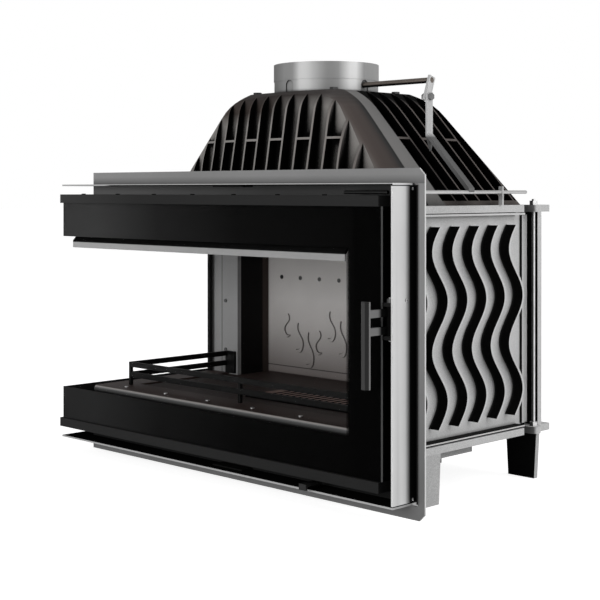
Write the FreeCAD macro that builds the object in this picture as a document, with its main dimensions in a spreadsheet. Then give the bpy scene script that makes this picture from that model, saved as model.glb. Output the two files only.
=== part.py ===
import FreeCAD, Part
import math
import os
import re
import Sketcher

from FreeCAD import Placement, Rotation, Vector

# Corner fireplace insert with an L-shaped door: a front pane and a left side pane.
# Millimetres. +X is to the right, +Y to the back, +Z up. The origin is on the floor,
# under the middle of the whole outline.

DIMENSIONS = {
    # overall arrangement
    "overall_width": 902,
    "door_overhang": 47,
    "handle_reach": 41,
    "body_depth": 414,
    "rear_plate_thick": 12,
    "rear_lug_reach": 25,
    "leg_height": 84,
    "plate_thick": 12.5,
    "top_drop": 61,
    "side_inset": 80,
    "post_thick": 12,
    "lining_thick": 8,
    # side plate with wavy fins
    "panel_thick": 8,
    "panel_length": 393,
    "fin_depth": 22,
    "fin_thick": 5,
    "fin_pitch": 53,
    "fin_rear": 348,
    "fin_top_gap": 22.5,
    "fin_bottom_gap": 26,
    "wave_length": 166,
    "wave_height": 20.3,
    "pilaster_width": 15,
    "pilaster_proud": 5,
    "rim_length": 365,
    "rim_thick": 3.5,
    "rim_gap": 1.5,
    "rim_inset": 1,
    # top and base plate
    "plate_side_length": 373,
    "plate_rear_inset": 20,
    "lug_radius": 13,
    "rear_lug_width": 32,
    "smoke_half_width": 240,
    "smoke_half_depth": 105,
    # tie bolts
    "tie_radius": 3,
    "tie_clear": 0.5,
    "tie_setback": 404,
    "tie_side_inset": 2,
    "tie_left_inset": 40,
    "tie_end": 3,
    "nut_radius": 7.5,
    "nut_height": 7.5,
    # legs
    "leg_top_width": 78,
    "leg_rear_width": 67,
    "leg_taper": 5,
    "leg_thick": 10,
    "leg_setback": 60,
    "leg_rear_inset": 4,
    # frame and its lips
    "frame_base": 7.5,
    "frame_height": 547.5,
    "frame_sheet": 3,
    "frame_corner": 11,
    "lip_sheet": 3,
    "lip_depth": 44,
    "lip_margin_low": 22,
    "lip_margin_high": 23.5,
    "lip_margin_side": 27.5,
    "groove_width": 10.5,
    "groove_depth": 12,
    "clip_width": 76,
    "clip_depth": 26,
    "clip_thick": 2.5,
    "lintel_drop": 26.5,
    # door
    "door_right_inset": 54,
    "side_pane_length": 347,
    "hinge_gap": 8,
    "door_gap_low": 18,
    "door_gap_high": 16.5,
    "door_depth": 32,
    "rail_height": 17,
    "glass_thick": 4,
    "glass_setback": 2,
    "glass_engage": 8,
    "glass_clear": 0.2,
    "stile_width": 60,
    "hinge_stile_width": 10.5,
    "seal_width": 8,
    "seal_inset": 4.5,
    "seal_clear": 0.5,
    "hinge_inset": 16,
    "hinge_pin_radius": 5,
    "hinge_running": 0.06,
    "hinge_engage": 12,
    "hinge_collar_radius": 9,
    "hinge_lift": 0.3,
    "door_screw_radius": 4,
    "door_screw_height": 1.6,
    "door_screw_pitch": 110,
    "door_screw_end": 57,
    # handle and latch
    "handle_width": 16,
    "handle_thick": 8,
    "handle_chamfer": 4.5,
    "handle_length": 134,
    "handle_base": 216,
    "handle_offset": 5.5,
    "pivot_out": 12,
    "pivot_back": 16,
    "pivot_radius": 4,
    "pivot_running": 0.05,
    "pivot_end": 2,
    "sleeve_radius": 6.5,
    "lug_thick": 6,
    "lug_low": 288,
    "lug_gap": 46,
    "lug_clear": 0.3,
    "arm_height": 12,
    "arm_thick": 6,
    "arm_inset": 3,
    "hook_thick": 6,
    "hook_finger": 5,
    "hook_left": 2,
    "hook_nose": 5,
    "hook_reach": 24.5,
    "hook_nose_depth": 4,
    "hook_release": 18,
    "striker_radius": 3.5,
    "striker_length": 7.5,
    "striker_clear": 1,
    "striker_head_radius": 6,
    "striker_head": 3,
    # hearth, grate and ash pan
    "hearth_rise": 33.5,
    "hearth_thick": 12,
    "sill_rise": 3,
    "sill_depth": 70,
    "sill_side_depth": 60,
    "sill_proud": 2,
    "sill_end_gap": 9,
    "side_opening": 306,
    "jamb_setback": 310,
    "jamb_thick": 10,
    "jamb_width": 74,
    "back_thick": 14,
    "lining_gap": 35.5,
    "baffle_thick": 12,
    "baffle_setback": 200,
    "grate_width": 290,
    "grate_depth": 132,
    "grate_right_inset": 250,
    "grate_setback": 122,
    "grate_thick": 9,
    "grate_sink": 6,
    "grate_ledge": 8,
    "grate_clear": 1.5,
    "grate_slot": 8,
    "grate_bar": 9,
    "grate_rim": 14,
    "pan_wall": 2,
    "pan_height": 43,
    "pan_clear": 4,
    # air box under the base plate
    "airbox_drop": 18,
    "airbox_wall": 3,
    "airbox_left_inset": 560,
    "airbox_right_inset": 110,
    "airbox_setback": 90,
    "airbox_depth": 171,
    "air_slot": 18,
    "air_slot_pitch": 40,
    "air_slot_length": 55,
    "slots_setback": 17.5,
    "air_slots_inset": 207,
    "slider_thick": 3.7,
    "slider_margin": 14,
    "slider_clear": 0.3,
    "slider_travel": 20,
    "slider_rail": 4,
    "slider_ledge": 6,
    "lever_width": 16,
    "lever_thick": 4,
    "lever_level": 40,
    "lever_reach": 60,
    "lever_slot_clear": 2.5,
    "lever_grip": 6,
    # log guard
    "guard_bar": 6,
    "guard_plate": 28,
    "guard_height": 46,
    "guard_rail": 10,
    "guard_lower": 16,
    "guard_setback": 47,
    "guard_side_inset": 54,
    "guard_right_inset": 140,
    "guard_post_pitch": 322,
    # airwash deflector
    "airwash_sheet": 3,
    "airwash_gap": 5,
    "airwash_side_gap": 22,
    "airwash_drop": 105,
    "airwash_lip": 11,
    "airwash_right_inset": 135,
    "airwash_seat": 6,
    "airwash_hinge_gap": 38,
    # relief of tongues of fire on the back lining
    "flame_relief": 3,
    "flame_drop": 185,
    "flame_rise": 30,
    "flame_pitch": 31,
    "flame_edge": 90,
    "flame_height": 48,
    "flame_curl": 14,
    "lining_groove_rise": 15,
    "lining_groove_width": 2,
    "lining_groove_depth": 1.5,
    # dome and flue
    "dome_height": 206,
    "dome_gap_right": 15.5,
    "dome_gap_left": 43.5,
    "dome_half_depth": 168,
    "dome_front_corner": 140,
    "dome_bow": 15,
    "dome_rear_corner": 15,
    "plateau_half": 130,
    "plateau_left": 144,
    "plateau_right": 140,
    "plateau_depth": 134,
    "plateau_corner": 50,
    "plateau_bow": 6,
    "shoulder_height": 45,
    "shoulder_left": 32,
    "shoulder_right": 20,
    "shoulder_depth": 22,
    "dome_wall_low": 33,
    "dome_wall_high": 25,
    "dome_roof": 14,
    "rib_thick": 4,
    "rib_front_pitch": 33,
    "rib_left_reach": 264,
    "rib_right_reach": 231,
    "rib_side_pitch": 33.2,
    "rib_depth_low": 22,
    "rib_depth_high": 14,
    "rib_bow_high": 1.8,
    "rib_foot": 8,
    "rib_tie_level": 116,
    "rib_tie_thick": 4,
    "rib_side_depth_high": 20,
    "rib_side_first": 50,
    "rib_side_reach": 233,
    "rib_rear_rim": 8,
    "flue_setback": 225.5,
    "flue_radius": 99,
    "spigot_length": 31,
    "neck_depth": 1,
    "flue_wall": 6,
    "collar_height": 55,
    "arch_half_width": 9.5,
    "arch_height": 23,
    "arch_depth": 3.5,
    "dome_bolt_x": 100,
    "dome_bolt_y": 84,
    "dome_bolt_radius": 8,
    "dome_bolt_height": 5,
    # damper and its control
    "shaft_rise": 13.5,
    "shaft_radius": 5,
    "shaft_running": 0.05,
    "shaft_reach": 257,
    "shaft_tail": 104,
    "disc_clear": 2,
    "disc_thick": 4,
    "crank_tilt": 20,
    "crank_width": 15,
    "crank_thick": 5,
    "crank_above": 7,
    "crank_below": 40,
    "crank_drop": 29.9,
    "crank_slot_play": 1.2,
    "crank_slot_end": 1.5,
    "crank_bolt_radius": 3,
    "crank_head_radius": 6.5,
    "crank_head": 5,
    "arm_gap": 0.5,
    "arm_sheet": 4,
    "arm_width": 15,
    "arm_above_bolt": 8,
    "arm_bend_drop": 68,
    "arm_tab_drop": 27,
    "arm_tab_tip": 3,
    "rod_radius": 3,
    "rod_clear": 0.5,
    "rod_running": 0.05,
    "rod_inset": 78,
    "rod_over_door": 5,
    "rod_rear": 375,
    "rod_front": 33,
    "rod_handle_left": 60,
    "rod_handle_right": 32,
    "bracket_setback": 300,
    "bracket_width": 8,
    "bracket_thick": 4,
    "bracket_height": 33,
    # small screws of the hearth and the linings
    "screw_radius": 4,
    "screw_height": 1.5,
    "sill_screw_pitch": 121,
    "sill_screw_first": 76,
    "sill_screw_setback": 24,
    "back_screw_pitch": 56,
    "back_screw_end": 42,
    "back_screw_drop": 111,
    "jamb_screw_low": 181,
    "jamb_screw_gap": 104,
}

# Places worked out from the dimensions.
PLACES = {
    "right": "overall_width / 2",
    "door_left": "-overall_width / 2",
    "left": "door_left + door_overhang",
    "front": "(door_overhang + handle_reach - body_depth - rear_plate_thick - rear_lug_reach) / 2",
    "rear": "front + body_depth",
    "rear_back": "rear + rear_plate_thick",
    "body_right": "right - side_inset",
    "panel_face": "body_right - fin_depth",
    "lining_face": "panel_face - panel_thick - lining_thick",
    "inner_front": "front + post_thick",
    "inner_left": "left + post_thick",
    "base_high": "leg_height + plate_thick",
    "frame_top": "frame_base + frame_height",
    "top_high": "frame_top - top_drop",
    "top_low": "top_high - plate_thick",
    "hearth_top": "base_high + hearth_rise",
    "hearth_low": "hearth_top - hearth_thick",
    "sill_top": "hearth_top + sill_rise",
    "opening_high": "top_low - lintel_drop",
    "lip_low": "frame_base + lip_margin_low",
    "lip_high": "frame_top - lip_margin_high",
    "lip_right_out": "right - lip_margin_side",
    "lip_right_in": "lip_right_out - lip_sheet",
    "groove_right": "lip_right_out + groove_width",
    "door_front": "front - door_overhang",
    "door_back": "door_front + door_depth",
    "door_inner": "door_left + door_depth",
    "door_right": "right - door_right_inset",
    "door_rear": "front + side_pane_length",
    "door_low": "lip_low + lip_sheet + door_gap_low",
    "door_high": "lip_high - lip_sheet - door_gap_high",
    "lip_rear_in": "door_rear + hinge_gap",
    "lip_rear_out": "lip_rear_in + lip_sheet",
    "frame_rear": "lip_rear_out + lip_margin_side",
    "glass_front": "door_front + glass_setback",
    "glass_back": "glass_front + glass_thick",
    "glass_left": "door_left + glass_setback",
    "glass_inner": "glass_left + glass_thick",
    "glass_right": "door_right - glass_setback",
    "glass_rear": "door_rear - glass_setback",
    "airwash_low": "door_high - airwash_drop",
    "glass_low": "door_low + rail_height - glass_engage",
    "glass_high": "door_high - rail_height + glass_engage",
    "hinge_x": "door_left + hinge_inset",
    "hinge_y": "door_rear - hinge_inset",
    "pivot_x": "door_right + pivot_out",
    "pivot_y": "door_front + pivot_back",
    "handle_left": "door_right + handle_offset - handle_width / 2",
    "handle_front": "door_front - handle_reach",
    "lug_high": "lug_low + lug_thick + lug_gap",
    "hook_low": "lug_high + lug_thick + lug_clear",
    "lining_top": "top_low - lining_gap",
    "jamb_right": "inner_left + jamb_width",
    "back_face": "rear - back_thick",
    "back_screw_level": "lining_top - back_screw_drop",
    "flame_base": "back_screw_level - flame_drop",
    "grate_right": "right - grate_right_inset",
    "grate_left": "grate_right - grate_width",
    "grate_front": "front + grate_setback",
    "grate_back": "grate_front + grate_depth",
    "grate_low": "hearth_top - grate_sink",
    "airbox_low": "leg_height - airbox_drop",
    "airbox_left": "right - airbox_left_inset",
    "airbox_right": "right - airbox_right_inset",
    "airbox_front": "front + airbox_setback",
    "airbox_back": "airbox_front + airbox_depth",
    "lever_x": "right - air_slots_inset",
    "slots_front": "airbox_front + slots_setback",
    "slots_back": "slots_front + air_slot_length",
    "slider_high": "airbox_low - slider_clear",
    "slider_low": "slider_high - slider_thick",
    "slider_front": "slots_front - slider_margin",
    "slider_back": "slots_back + slider_margin",
    "flue_x": "(left + right) / 2",
    "flue_y": "front + flue_setback",
    "dome_reach_right": "body_right - flue_x - dome_gap_right",
    "dome_reach_left": "flue_x - inner_left - dome_gap_left",
    "plateau": "top_high + dome_height",
    "collar_top": "plateau + collar_height",
    "spigot_low": "collar_top - spigot_length",
    "flue_bore": "flue_radius - flue_wall",
    "shaft_z": "plateau + shaft_rise",
    "crank_left": "flue_x + shaft_reach - crank_thick",
    "crank_right": "flue_x + shaft_reach",
    "bolt_y": "flue_y - crank_drop * tan(crank_tilt)",
    "bolt_z": "shaft_z - crank_drop",
    "arm_left": "crank_right + arm_gap",
    "arm_right": "arm_left + arm_sheet",
    "rod_x": "right - rod_inset",
    "rod_level": "door_high + rod_over_door",
    "rod_front_y": "front - rod_front",
    "rod_rear_y": "front + rod_rear",
    "tie_y": "front + tie_setback",
    "tie_right_x": "body_right - tie_side_inset",
    "tie_left_x": "left + tie_left_inset",
}

doc = FreeCAD.newDocument("fireplace_insert")
sheet = doc.addObject("Spreadsheet::Sheet", "dims")
for row, (alias, value) in enumerate(DIMENSIONS.items(), start=1):
    sheet.set(f"A{row}", alias)
    sheet.set(f"B{row}", str(value))
    sheet.setAlias(f"B{row}", alias)
doc.recompute()
places = doc.addObject("App::VarSet", "at")
NAME = re.compile(r"[a-z][a-z_0-9]*")
ANGLES = ("crank_tilt",)


def bound(formula):
    """Point each name of a formula at its cell or at its place."""
    def owner(match):
        word = match.group()
        if word in DIMENSIONS:
            return f"dims.{word} * 1 deg" if word in ANGLES else f"dims.{word}"
        return f"at.{word}" if word in PLACES else word
    return NAME.sub(owner, str(formula))


for place_name, place_formula in PLACES.items():
    places.addProperty("App::PropertyFloat", place_name)
for place_name, place_formula in PLACES.items():
    places.setExpression(place_name, bound(place_formula))
doc.recompute()


def size(name):
    """The number behind a dimension or a place."""
    return float(sheet.get(name)) if name in DIMENSIONS else getattr(places, name)


def number(formula):
    return float(places.evalExpression(bound(formula)))


SUBPARTS = []
ORIGIN = Vector(0, 0, 0)
X_AXIS = Vector(1, 0, 0)
Y_AXIS = Vector(0, 1, 0)
Z_AXIS = Vector(0, 0, 1)
AIM = {"x": Rotation(Y_AXIS, 90), "y": Rotation(X_AXIS, -90), "z": Rotation()}


def keep(item, label):
    """Mark an object as a sub-part: its label names its file."""
    item.Label = label
    SUBPARTS.append(item)
    return item


def move(item, x, y, z):
    for axis, formula in zip("xyz", (x, y, z)):
        item.setExpression(f".Placement.Base.{axis}", bound(formula))


def block(name, x, y, z):
    """A box between two formulas along each axis."""
    item = doc.addObject("Part::Box", name)
    for prop, (low, high) in zip(("Length", "Width", "Height"), (x, y, z)):
        item.setExpression(prop, bound(f"({high}) - ({low})"))
    move(item, x[0], y[0], z[0])
    return item


def start_of(along, span, centre):
    start = list(centre)
    start.insert("xyz".index(along), span[0])
    return start


def round_bar(name, radius, along, span, centre):
    """A cylinder along an axis; centre gives the other two coordinates."""
    item = doc.addObject("Part::Cylinder", name)
    item.Placement = Placement(ORIGIN, AIM[along])
    item.setExpression("Radius", bound(radius))
    item.setExpression("Height", bound(f"({span[1]}) - ({span[0]})"))
    move(item, *start_of(along, span, centre))
    return item


def hex_bar(name, radius, along, span, centre):
    item = doc.addObject("Part::Prism", name)
    item.Polygon = 6
    item.Placement = Placement(ORIGIN, AIM[along])
    item.setExpression("Circumradius", bound(radius))
    item.setExpression("Height", bound(f"({span[1]}) - ({span[0]})"))
    move(item, *start_of(along, span, centre))
    return item


def fuse(name, pieces):
    item = doc.addObject("Part::MultiFuse", name)
    item.Shapes = pieces
    item.Refine = True
    return item


def group(name, pieces):
    item = doc.addObject("Part::Compound", name)
    item.Links = pieces
    return item


def cut(name, base, tools):
    item = doc.addObject("Part::Cut", name)
    item.Base = base
    item.Tool = tools[0] if len(tools) == 1 else group(f"{name}_tools", tools)
    return item


def outline(sketch, points):
    """A closed polygon whose corners are bound to formulas."""
    corners = [Vector(number(u), number(v), 0) for u, v in points]
    count = len(corners)
    for index in range(count):
        sketch.addGeometry(Part.LineSegment(corners[index], corners[(index + 1) % count]), False)
    for index in range(count):
        sketch.addConstraint(Sketcher.Constraint("Coincident", index, 2, (index + 1) % count, 1))
    for index, formulas in enumerate(points):
        for kind, formula in zip(("DistanceX", "DistanceY"), formulas):
            rule = sketch.addConstraint(
                Sketcher.Constraint(kind, -1, 1, index, 1, number(formula)))
            sketch.setExpression(f"Constraints[{rule}]", bound(formula))


PAD_TURNED = {"XY_Plane": False, "XZ_Plane": True, "YZ_Plane": False}


def padded(name, plane, points, span):
    """A polygon drawn on a plane of its own body and padded along the plane's axis."""
    body = doc.addObject("PartDesign::Body", name)
    sketch = body.newObject("Sketcher::SketchObject", f"{name}_sketch")
    support = next(item for item in body.Origin.OriginFeatures if item.Role == plane)
    sketch.AttachmentSupport = [(support, "")]
    sketch.MapMode = "FlatFace"
    outline(sketch, points)
    pad = body.newObject("PartDesign::Pad", f"{name}_pad")
    pad.Profile = sketch
    pad.Reversed = PAD_TURNED[plane]
    pad.setExpression("Length", bound(f"({span[1]}) - ({span[0]})"))
    lift = {"XY_Plane": "z", "XZ_Plane": "y", "YZ_Plane": "x"}[plane]
    body.setExpression(f".Placement.Base.{lift}", bound(span[0]))
    return body


def feature(name, shape):
    item = doc.addObject("Part::Feature", name)
    item.Shape = shape
    return item


def corner_plan(outer_left, outer_front, depth_front, depth_left, end_right, end_rear):
    """An L in plan: one run along the front, one along the left side."""
    return [
        (outer_left, outer_front),
        (end_right, outer_front),
        (end_right, depth_front),
        (depth_left, depth_front),
        (depth_left, end_rear),
        (outer_left, end_rear),
    ]


def cover_plate(label, low, high, opening):
    """Top or base plate: stepped outline, tie lugs, rear lug, tie holes and a centre opening."""
    z = (low, high)
    main = block(f"{label}_main", ("inner_left", "body_right"),
                 ("inner_front", "front + plate_side_length"), z)
    tail = block(f"{label}_tail", ("inner_left", "body_right - plate_rear_inset"),
                 ("front + plate_side_length", "rear_back"), z)
    tie_lug = round_bar(f"{label}_tie_lug", "lug_radius", "z", z, ("tie_right_x", "tie_y"))
    tie_neck = block(f"{label}_tie_neck", ("tie_right_x - lug_radius", "tie_right_x"),
                     ("tie_y - lug_radius", "tie_y + lug_radius"), z)
    rear_lug = block(f"{label}_rear_lug", ("body_right - rear_lug_width", "body_right"),
                     ("rear + rear_plate_thick / 3", "rear_back + rear_lug_reach"), z)
    holes = [
        round_bar(f"{label}_hole_{side}", "tie_radius + tie_clear", "z", z, (x, "tie_y"))
        for side, x in (("right", "tie_right_x"), ("left", "tie_left_x"))
    ]
    body = fuse(f"{label}_body", [main, tail, tie_lug, tie_neck, rear_lug])
    keep(cut(label, body, holes + [block(f"{label}_opening", *opening, z)]), label)


def side_plate():
    """Right side plate: flat panel, rear pilaster, two rims and a row of wavy fins."""
    low, high = "base_high", "top_low"
    y = ("inner_front", "inner_front + panel_length")
    pieces = [
        block("side_panel", ("panel_face - panel_thick", "panel_face"), y, (low, high)),
        block("side_pilaster", ("panel_face", "panel_face + pilaster_proud"),
              ("inner_front + panel_length - pilaster_width", y[1]),
              ("base_high + rim_gap + rim_thick", "top_low - rim_gap - rim_thick")),
    ]
    for name, level in (("side_rim_low", "base_high + rim_gap"),
                        ("side_rim_high", "top_low - rim_gap - rim_thick")):
        pieces.append(block(name, ("panel_face", "body_right - rim_inset"),
                            ("inner_front", "inner_front + rim_length"),
                            (level, f"{level} + rim_thick")))
    fin_top = size("top_low") - size("fin_top_gap")
    fin_length = fin_top - size("base_high") - size("fin_bottom_gap")
    steps = round(16 * fin_length / size("wave_length"))
    room = size("fin_rear") - size("post_thick") - size("wave_height")
    count = 1 + int(room // size("fin_pitch"))

    def edge(y_start):
        points = []
        for step in range(steps + 1):
            drop = fin_length * step / steps
            swing = size("wave_height") * math.sin(2 * math.pi * drop / size("wave_length"))
            points.append(Vector(size("panel_face"), y_start - swing, fin_top - drop))
        curve = Part.BSplineCurve()
        curve.interpolate(points)
        return curve.toShape()

    for index in range(count):
        y_start = size("front") + size("fin_rear") - index * size("fin_pitch")
        near = edge(y_start)
        far = edge(y_start + size("fin_thick"))
        face = Part.makeRuledSurface(near, far)
        pieces.append(feature(f"wavy_fin_{index + 1}", face.extrude(X_AXIS * size("fin_depth"))))
    keep(fuse("right_side_plate", pieces), "right_side_plate")


def body_castings():
    cover_plate("base_plate", "leg_height", "base_high", (
        ("grate_left - pan_clear", "grate_right + pan_clear"),
        ("grate_front - pan_clear", "grate_back + pan_clear")))
    cover_plate("top_plate", "top_low", "top_high", (
        ("flue_x - smoke_half_width", "flue_x + smoke_half_width"),
        ("flue_y - smoke_half_depth", "flue_y + smoke_half_depth")))
    side_plate()
    keep(block("rear_plate", ("left + frame_sheet", "body_right"), ("rear", "rear_back"),
               ("base_high", "top_low")), "rear_plate")
    keep(block("right_front_post", ("lining_face", "lip_right_in"), ("front", "inner_front"),
               ("hearth_low", "opening_high")), "right_front_post")
    keep(padded("left_rear_post", "XY_Plane", [
        ("left", "front + side_opening"),
        ("inner_left", "front + side_opening"),
        ("inner_left", "front + jamb_setback"),
        ("jamb_right", "front + jamb_setback"),
        ("jamb_right", "front + jamb_setback + jamb_thick"),
        ("inner_left", "front + jamb_setback + jamb_thick"),
        ("inner_left", "rear"),
        ("left + frame_sheet", "rear"),
        ("left + frame_sheet", "lip_rear_out"),
        ("left", "lip_rear_out"),
    ], ("hearth_low", "opening_high")), "left_rear_post")
    plan = corner_plan("left", "front", "inner_front", "inner_left", "lip_right_in", "lip_rear_out")
    lintel = padded("lintel_bar", "XY_Plane", plan, ("opening_high", "lip_high - lip_sheet"))
    rod_hole = round_bar("rod_hole", "rod_radius + rod_clear", "y", ("front", "inner_front"),
                         ("rod_x", "rod_level"))
    keep(cut("lintel", lintel, [rod_hole]), "lintel")
    threshold = padded("threshold_bar", "XY_Plane", plan, ("lip_low + lip_sheet", "hearth_low"))
    reach = "(lever_width / 2 + slider_travel + lever_slot_clear)"
    lever_slot = block("lever_slot", (f"lever_x - {reach}", f"lever_x + {reach}"),
                       ("front", "inner_front"),
                       ("lever_level - lever_slot_clear",
                        "lever_level + lever_thick + lever_slot_clear"))
    keep(cut("threshold", threshold, [lever_slot]), "threshold")


def tie_bolts():
    """Long studs from the base plate's lugs to the top plate's, with a nut on top of each lug."""
    solids = []
    span = ("leg_height", "top_high + nut_height + tie_end")
    for side, x in (("right", "tie_right_x"), ("left", "tie_left_x")):
        solids.append(round_bar(f"tie_rod_{side}", "tie_radius", "z", span, (x, "tie_y")))
        for end, level in (("low", "base_high"), ("high", "top_high")):
            nut_span = (level, f"{level} + nut_height")
            nut = hex_bar(f"tie_nut_{side}_{end}_blank", "nut_radius", "z", nut_span, (x, "tie_y"))
            bore = round_bar(f"tie_nut_{side}_{end}_bore", "tie_radius", "z", nut_span,
                             (x, "tie_y"))
            solids.append(cut(f"tie_nut_{side}_{end}", nut, [bore]))
    keep(group("tie_bolts", solids), "tie_bolts")


def legs():
    """Front legs stand along the sides, rear legs across the back. All taper towards the foot."""
    def trapezoid(start, width):
        return [
            (f"{start} + leg_taper", "0"),
            (f"{start} + {width} - leg_taper", "0"),
            (f"{start} + {width}", "leg_height"),
            (start, "leg_height"),
        ]
    for side, x in (("right", "body_right - leg_thick"), ("left", "inner_left")):
        label = f"front_{side}_leg"
        side_view = trapezoid("front + leg_setback", "leg_top_width")
        keep(padded(label, "YZ_Plane", side_view, (x, f"{x} + leg_thick")), label)
    y = "rear - leg_rear_inset"
    for side, x in (("right", "body_right - leg_rear_width"), ("left", "inner_left")):
        label = f"rear_{side}_leg"
        rear_view = trapezoid(x, "leg_rear_width")
        keep(padded(label, "XZ_Plane", rear_view, (y, f"{y} + leg_thick")), label)


def frame():
    """Front and left frame plates, and the lips that stand out around the door."""
    edge = "groove_right + lip_sheet"
    near = "left + frame_sheet"
    keep(padded("frame_front", "XZ_Plane", [
        (near, "frame_base"),
        ("right - frame_corner", "frame_base"),
        ("right", "frame_base + frame_corner"),
        ("right", "frame_top - frame_corner"),
        ("right - frame_corner", "frame_top"),
        (near, "frame_top"),
        (near, "lip_high"),
        (edge, "lip_high"),
        (edge, "lip_low"),
        (near, "lip_low"),
    ], ("front", "front + frame_sheet")), "frame_front")
    keep(padded("frame_left", "YZ_Plane", [
        ("front", "frame_base"),
        ("frame_rear - frame_corner", "frame_base"),
        ("frame_rear", "frame_base + frame_corner"),
        ("frame_rear", "frame_top - frame_corner"),
        ("frame_rear - frame_corner", "frame_top"),
        ("front", "frame_top"),
        ("front", "lip_high"),
        ("lip_rear_out", "lip_high"),
        ("lip_rear_out", "lip_low"),
        ("front", "lip_low"),
    ], ("left", "left + frame_sheet")), "frame_left")
    plan = corner_plan("left - lip_depth", "front - lip_depth", "front + frame_sheet",
                       "left + frame_sheet", "lip_right_out", "lip_rear_out")
    keep(padded("lip_top", "XY_Plane", plan, ("lip_high - lip_sheet", "lip_high")), "lip_top")
    keep(padded("lip_bottom", "XY_Plane", plan, ("lip_low", "lip_low + lip_sheet")), "lip_bottom")
    upright = ("lip_low + lip_sheet", "lip_high - lip_sheet")
    keep(padded("lip_right", "XY_Plane", [
        ("lip_right_in", "front - lip_depth"),
        ("lip_right_out", "front - lip_depth"),
        ("lip_right_out", "front + groove_depth"),
        ("groove_right", "front + groove_depth"),
        ("groove_right", "front"),
        (edge, "front"),
        (edge, "front + groove_depth + lip_sheet"),
        ("lip_right_in", "front + groove_depth + lip_sheet"),
    ], upright), "lip_right")
    keep(block("lip_rear", ("left - lip_depth", "left"), ("lip_rear_in", "lip_rear_out"), upright),
         "lip_rear")
    clip_y = ("front - clip_depth", "front")
    clip_x = ("flue_x - clip_width / 2", "flue_x + clip_width / 2")
    keep(group("frame_clips", [
        block("clip_high", clip_x, clip_y, ("lip_high - lip_sheet - clip_thick",
                                            "lip_high - lip_sheet")),
        block("clip_low", clip_x, clip_y, ("lip_low + lip_sheet",
                                           "lip_low + lip_sheet + clip_thick")),
    ]), "frame_clips")


def hearth():
    """Sill with a rounded nose, hearth plate, grate in its recess, and the ash pan below."""
    z = ("hearth_low", "sill_top")
    nose = "(sill_top - hearth_low) / 2"
    nose_y = f"front - sill_proud + {nose}"
    nose_x = f"left - sill_proud + {nose}"
    middle = f"hearth_low + {nose}"
    sill_end = "front + side_opening - sill_end_gap"
    keep(fuse("hearth_sill", [
        block("sill_front", (nose_x, "lining_face"), (nose_y, "front + sill_depth"), z),
        block("sill_left", (nose_x, "left + sill_side_depth"),
              ("front + sill_depth", sill_end), z),
        block("sill_heel", ("inner_left", "left + sill_side_depth"),
              (sill_end, "front + jamb_setback"), z),
        round_bar("sill_nose_front", nose, "x", (nose_x, "lining_face"), (nose_y, middle)),
        round_bar("sill_nose_left", nose, "y", (nose_y, sill_end), (nose_x, middle)),
    ]), "hearth_sill")
    plate = padded("hearth_blank", "XY_Plane", [
        ("left + sill_side_depth", "front + sill_depth"),
        ("lining_face", "front + sill_depth"),
        ("lining_face", "back_face"),
        ("jamb_right", "back_face"),
        ("jamb_right", "front + jamb_setback"),
        ("left + sill_side_depth", "front + jamb_setback"),
    ], ("hearth_low", "hearth_top"))
    recess = block("grate_recess", ("grate_left - grate_clear", "grate_right + grate_clear"),
                   ("grate_front - grate_clear", "grate_back + grate_clear"),
                   ("grate_low", "hearth_top"))
    throat = block("grate_throat", ("grate_left + grate_ledge", "grate_right - grate_ledge"),
                   ("grate_front + grate_ledge", "grate_back - grate_ledge"),
                   ("hearth_low", "grate_low"))
    keep(cut("hearth_plate", plate, [recess, throat]), "hearth_plate")
    blank = block("grate_blank", ("grate_left", "grate_right"), ("grate_front", "grate_back"),
                  ("grate_low", "grate_low + grate_thick"))
    pitch = size("grate_slot") + size("grate_bar")
    count = int((size("grate_width") - 2 * size("grate_rim") + size("grate_bar")) // pitch)
    margin = f"(grate_width - {count} * grate_slot - {count - 1} * grate_bar) / 2"
    slots = []
    for index in range(count):
        start = f"grate_left + {margin} + {index} * (grate_slot + grate_bar)"
        slots.append(block(f"grate_slot_{index + 1}", (start, f"{start} + grate_slot"),
                           ("grate_front + grate_rim", "grate_back - grate_rim"),
                           ("grate_low", "grate_low + grate_thick")))
    keep(cut("grate", blank, slots), "grate")
    pan_low = "airbox_low + airbox_wall"
    pan = block("pan_blank", ("grate_left", "grate_right"), ("grate_front", "grate_back"),
                (pan_low, f"{pan_low} + pan_height"))
    hollow = block("pan_hollow", ("grate_left + pan_wall", "grate_right - pan_wall"),
                   ("grate_front + pan_wall", "grate_back - pan_wall"),
                   (f"{pan_low} + pan_wall", f"{pan_low} + pan_height"))
    keep(cut("ash_pan", pan, [hollow]), "ash_pan")


# A tongue's two edges, as shares of its curl across and of its height.
FLAME_OUTER = ((0, 1), (0.1, 0.68), (1, 0.36), (0.6, 0), (-0.5, 0.06))
FLAME_INNER = (FLAME_OUTER[-1], (0.45, 0.12), (0.66, 0.38), (-0.12, 0.66), FLAME_OUTER[0])


def flame(name, middle, foot, height, curl):
    """One tongue of fire: a thin stem from its tip down to a hooked foot."""
    def edge(shares):
        curve = Part.BSplineCurve()
        curve.interpolate([Vector(middle + across * curl, size("back_face"), foot + up * height)
                           for across, up in shares])
        return curve.toShape()
    face = Part.Face(Part.Wire([edge(FLAME_OUTER), edge(FLAME_INNER)]))
    return feature(name, face.extrude(Vector(0, -size("flame_relief"), 0)))


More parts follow.
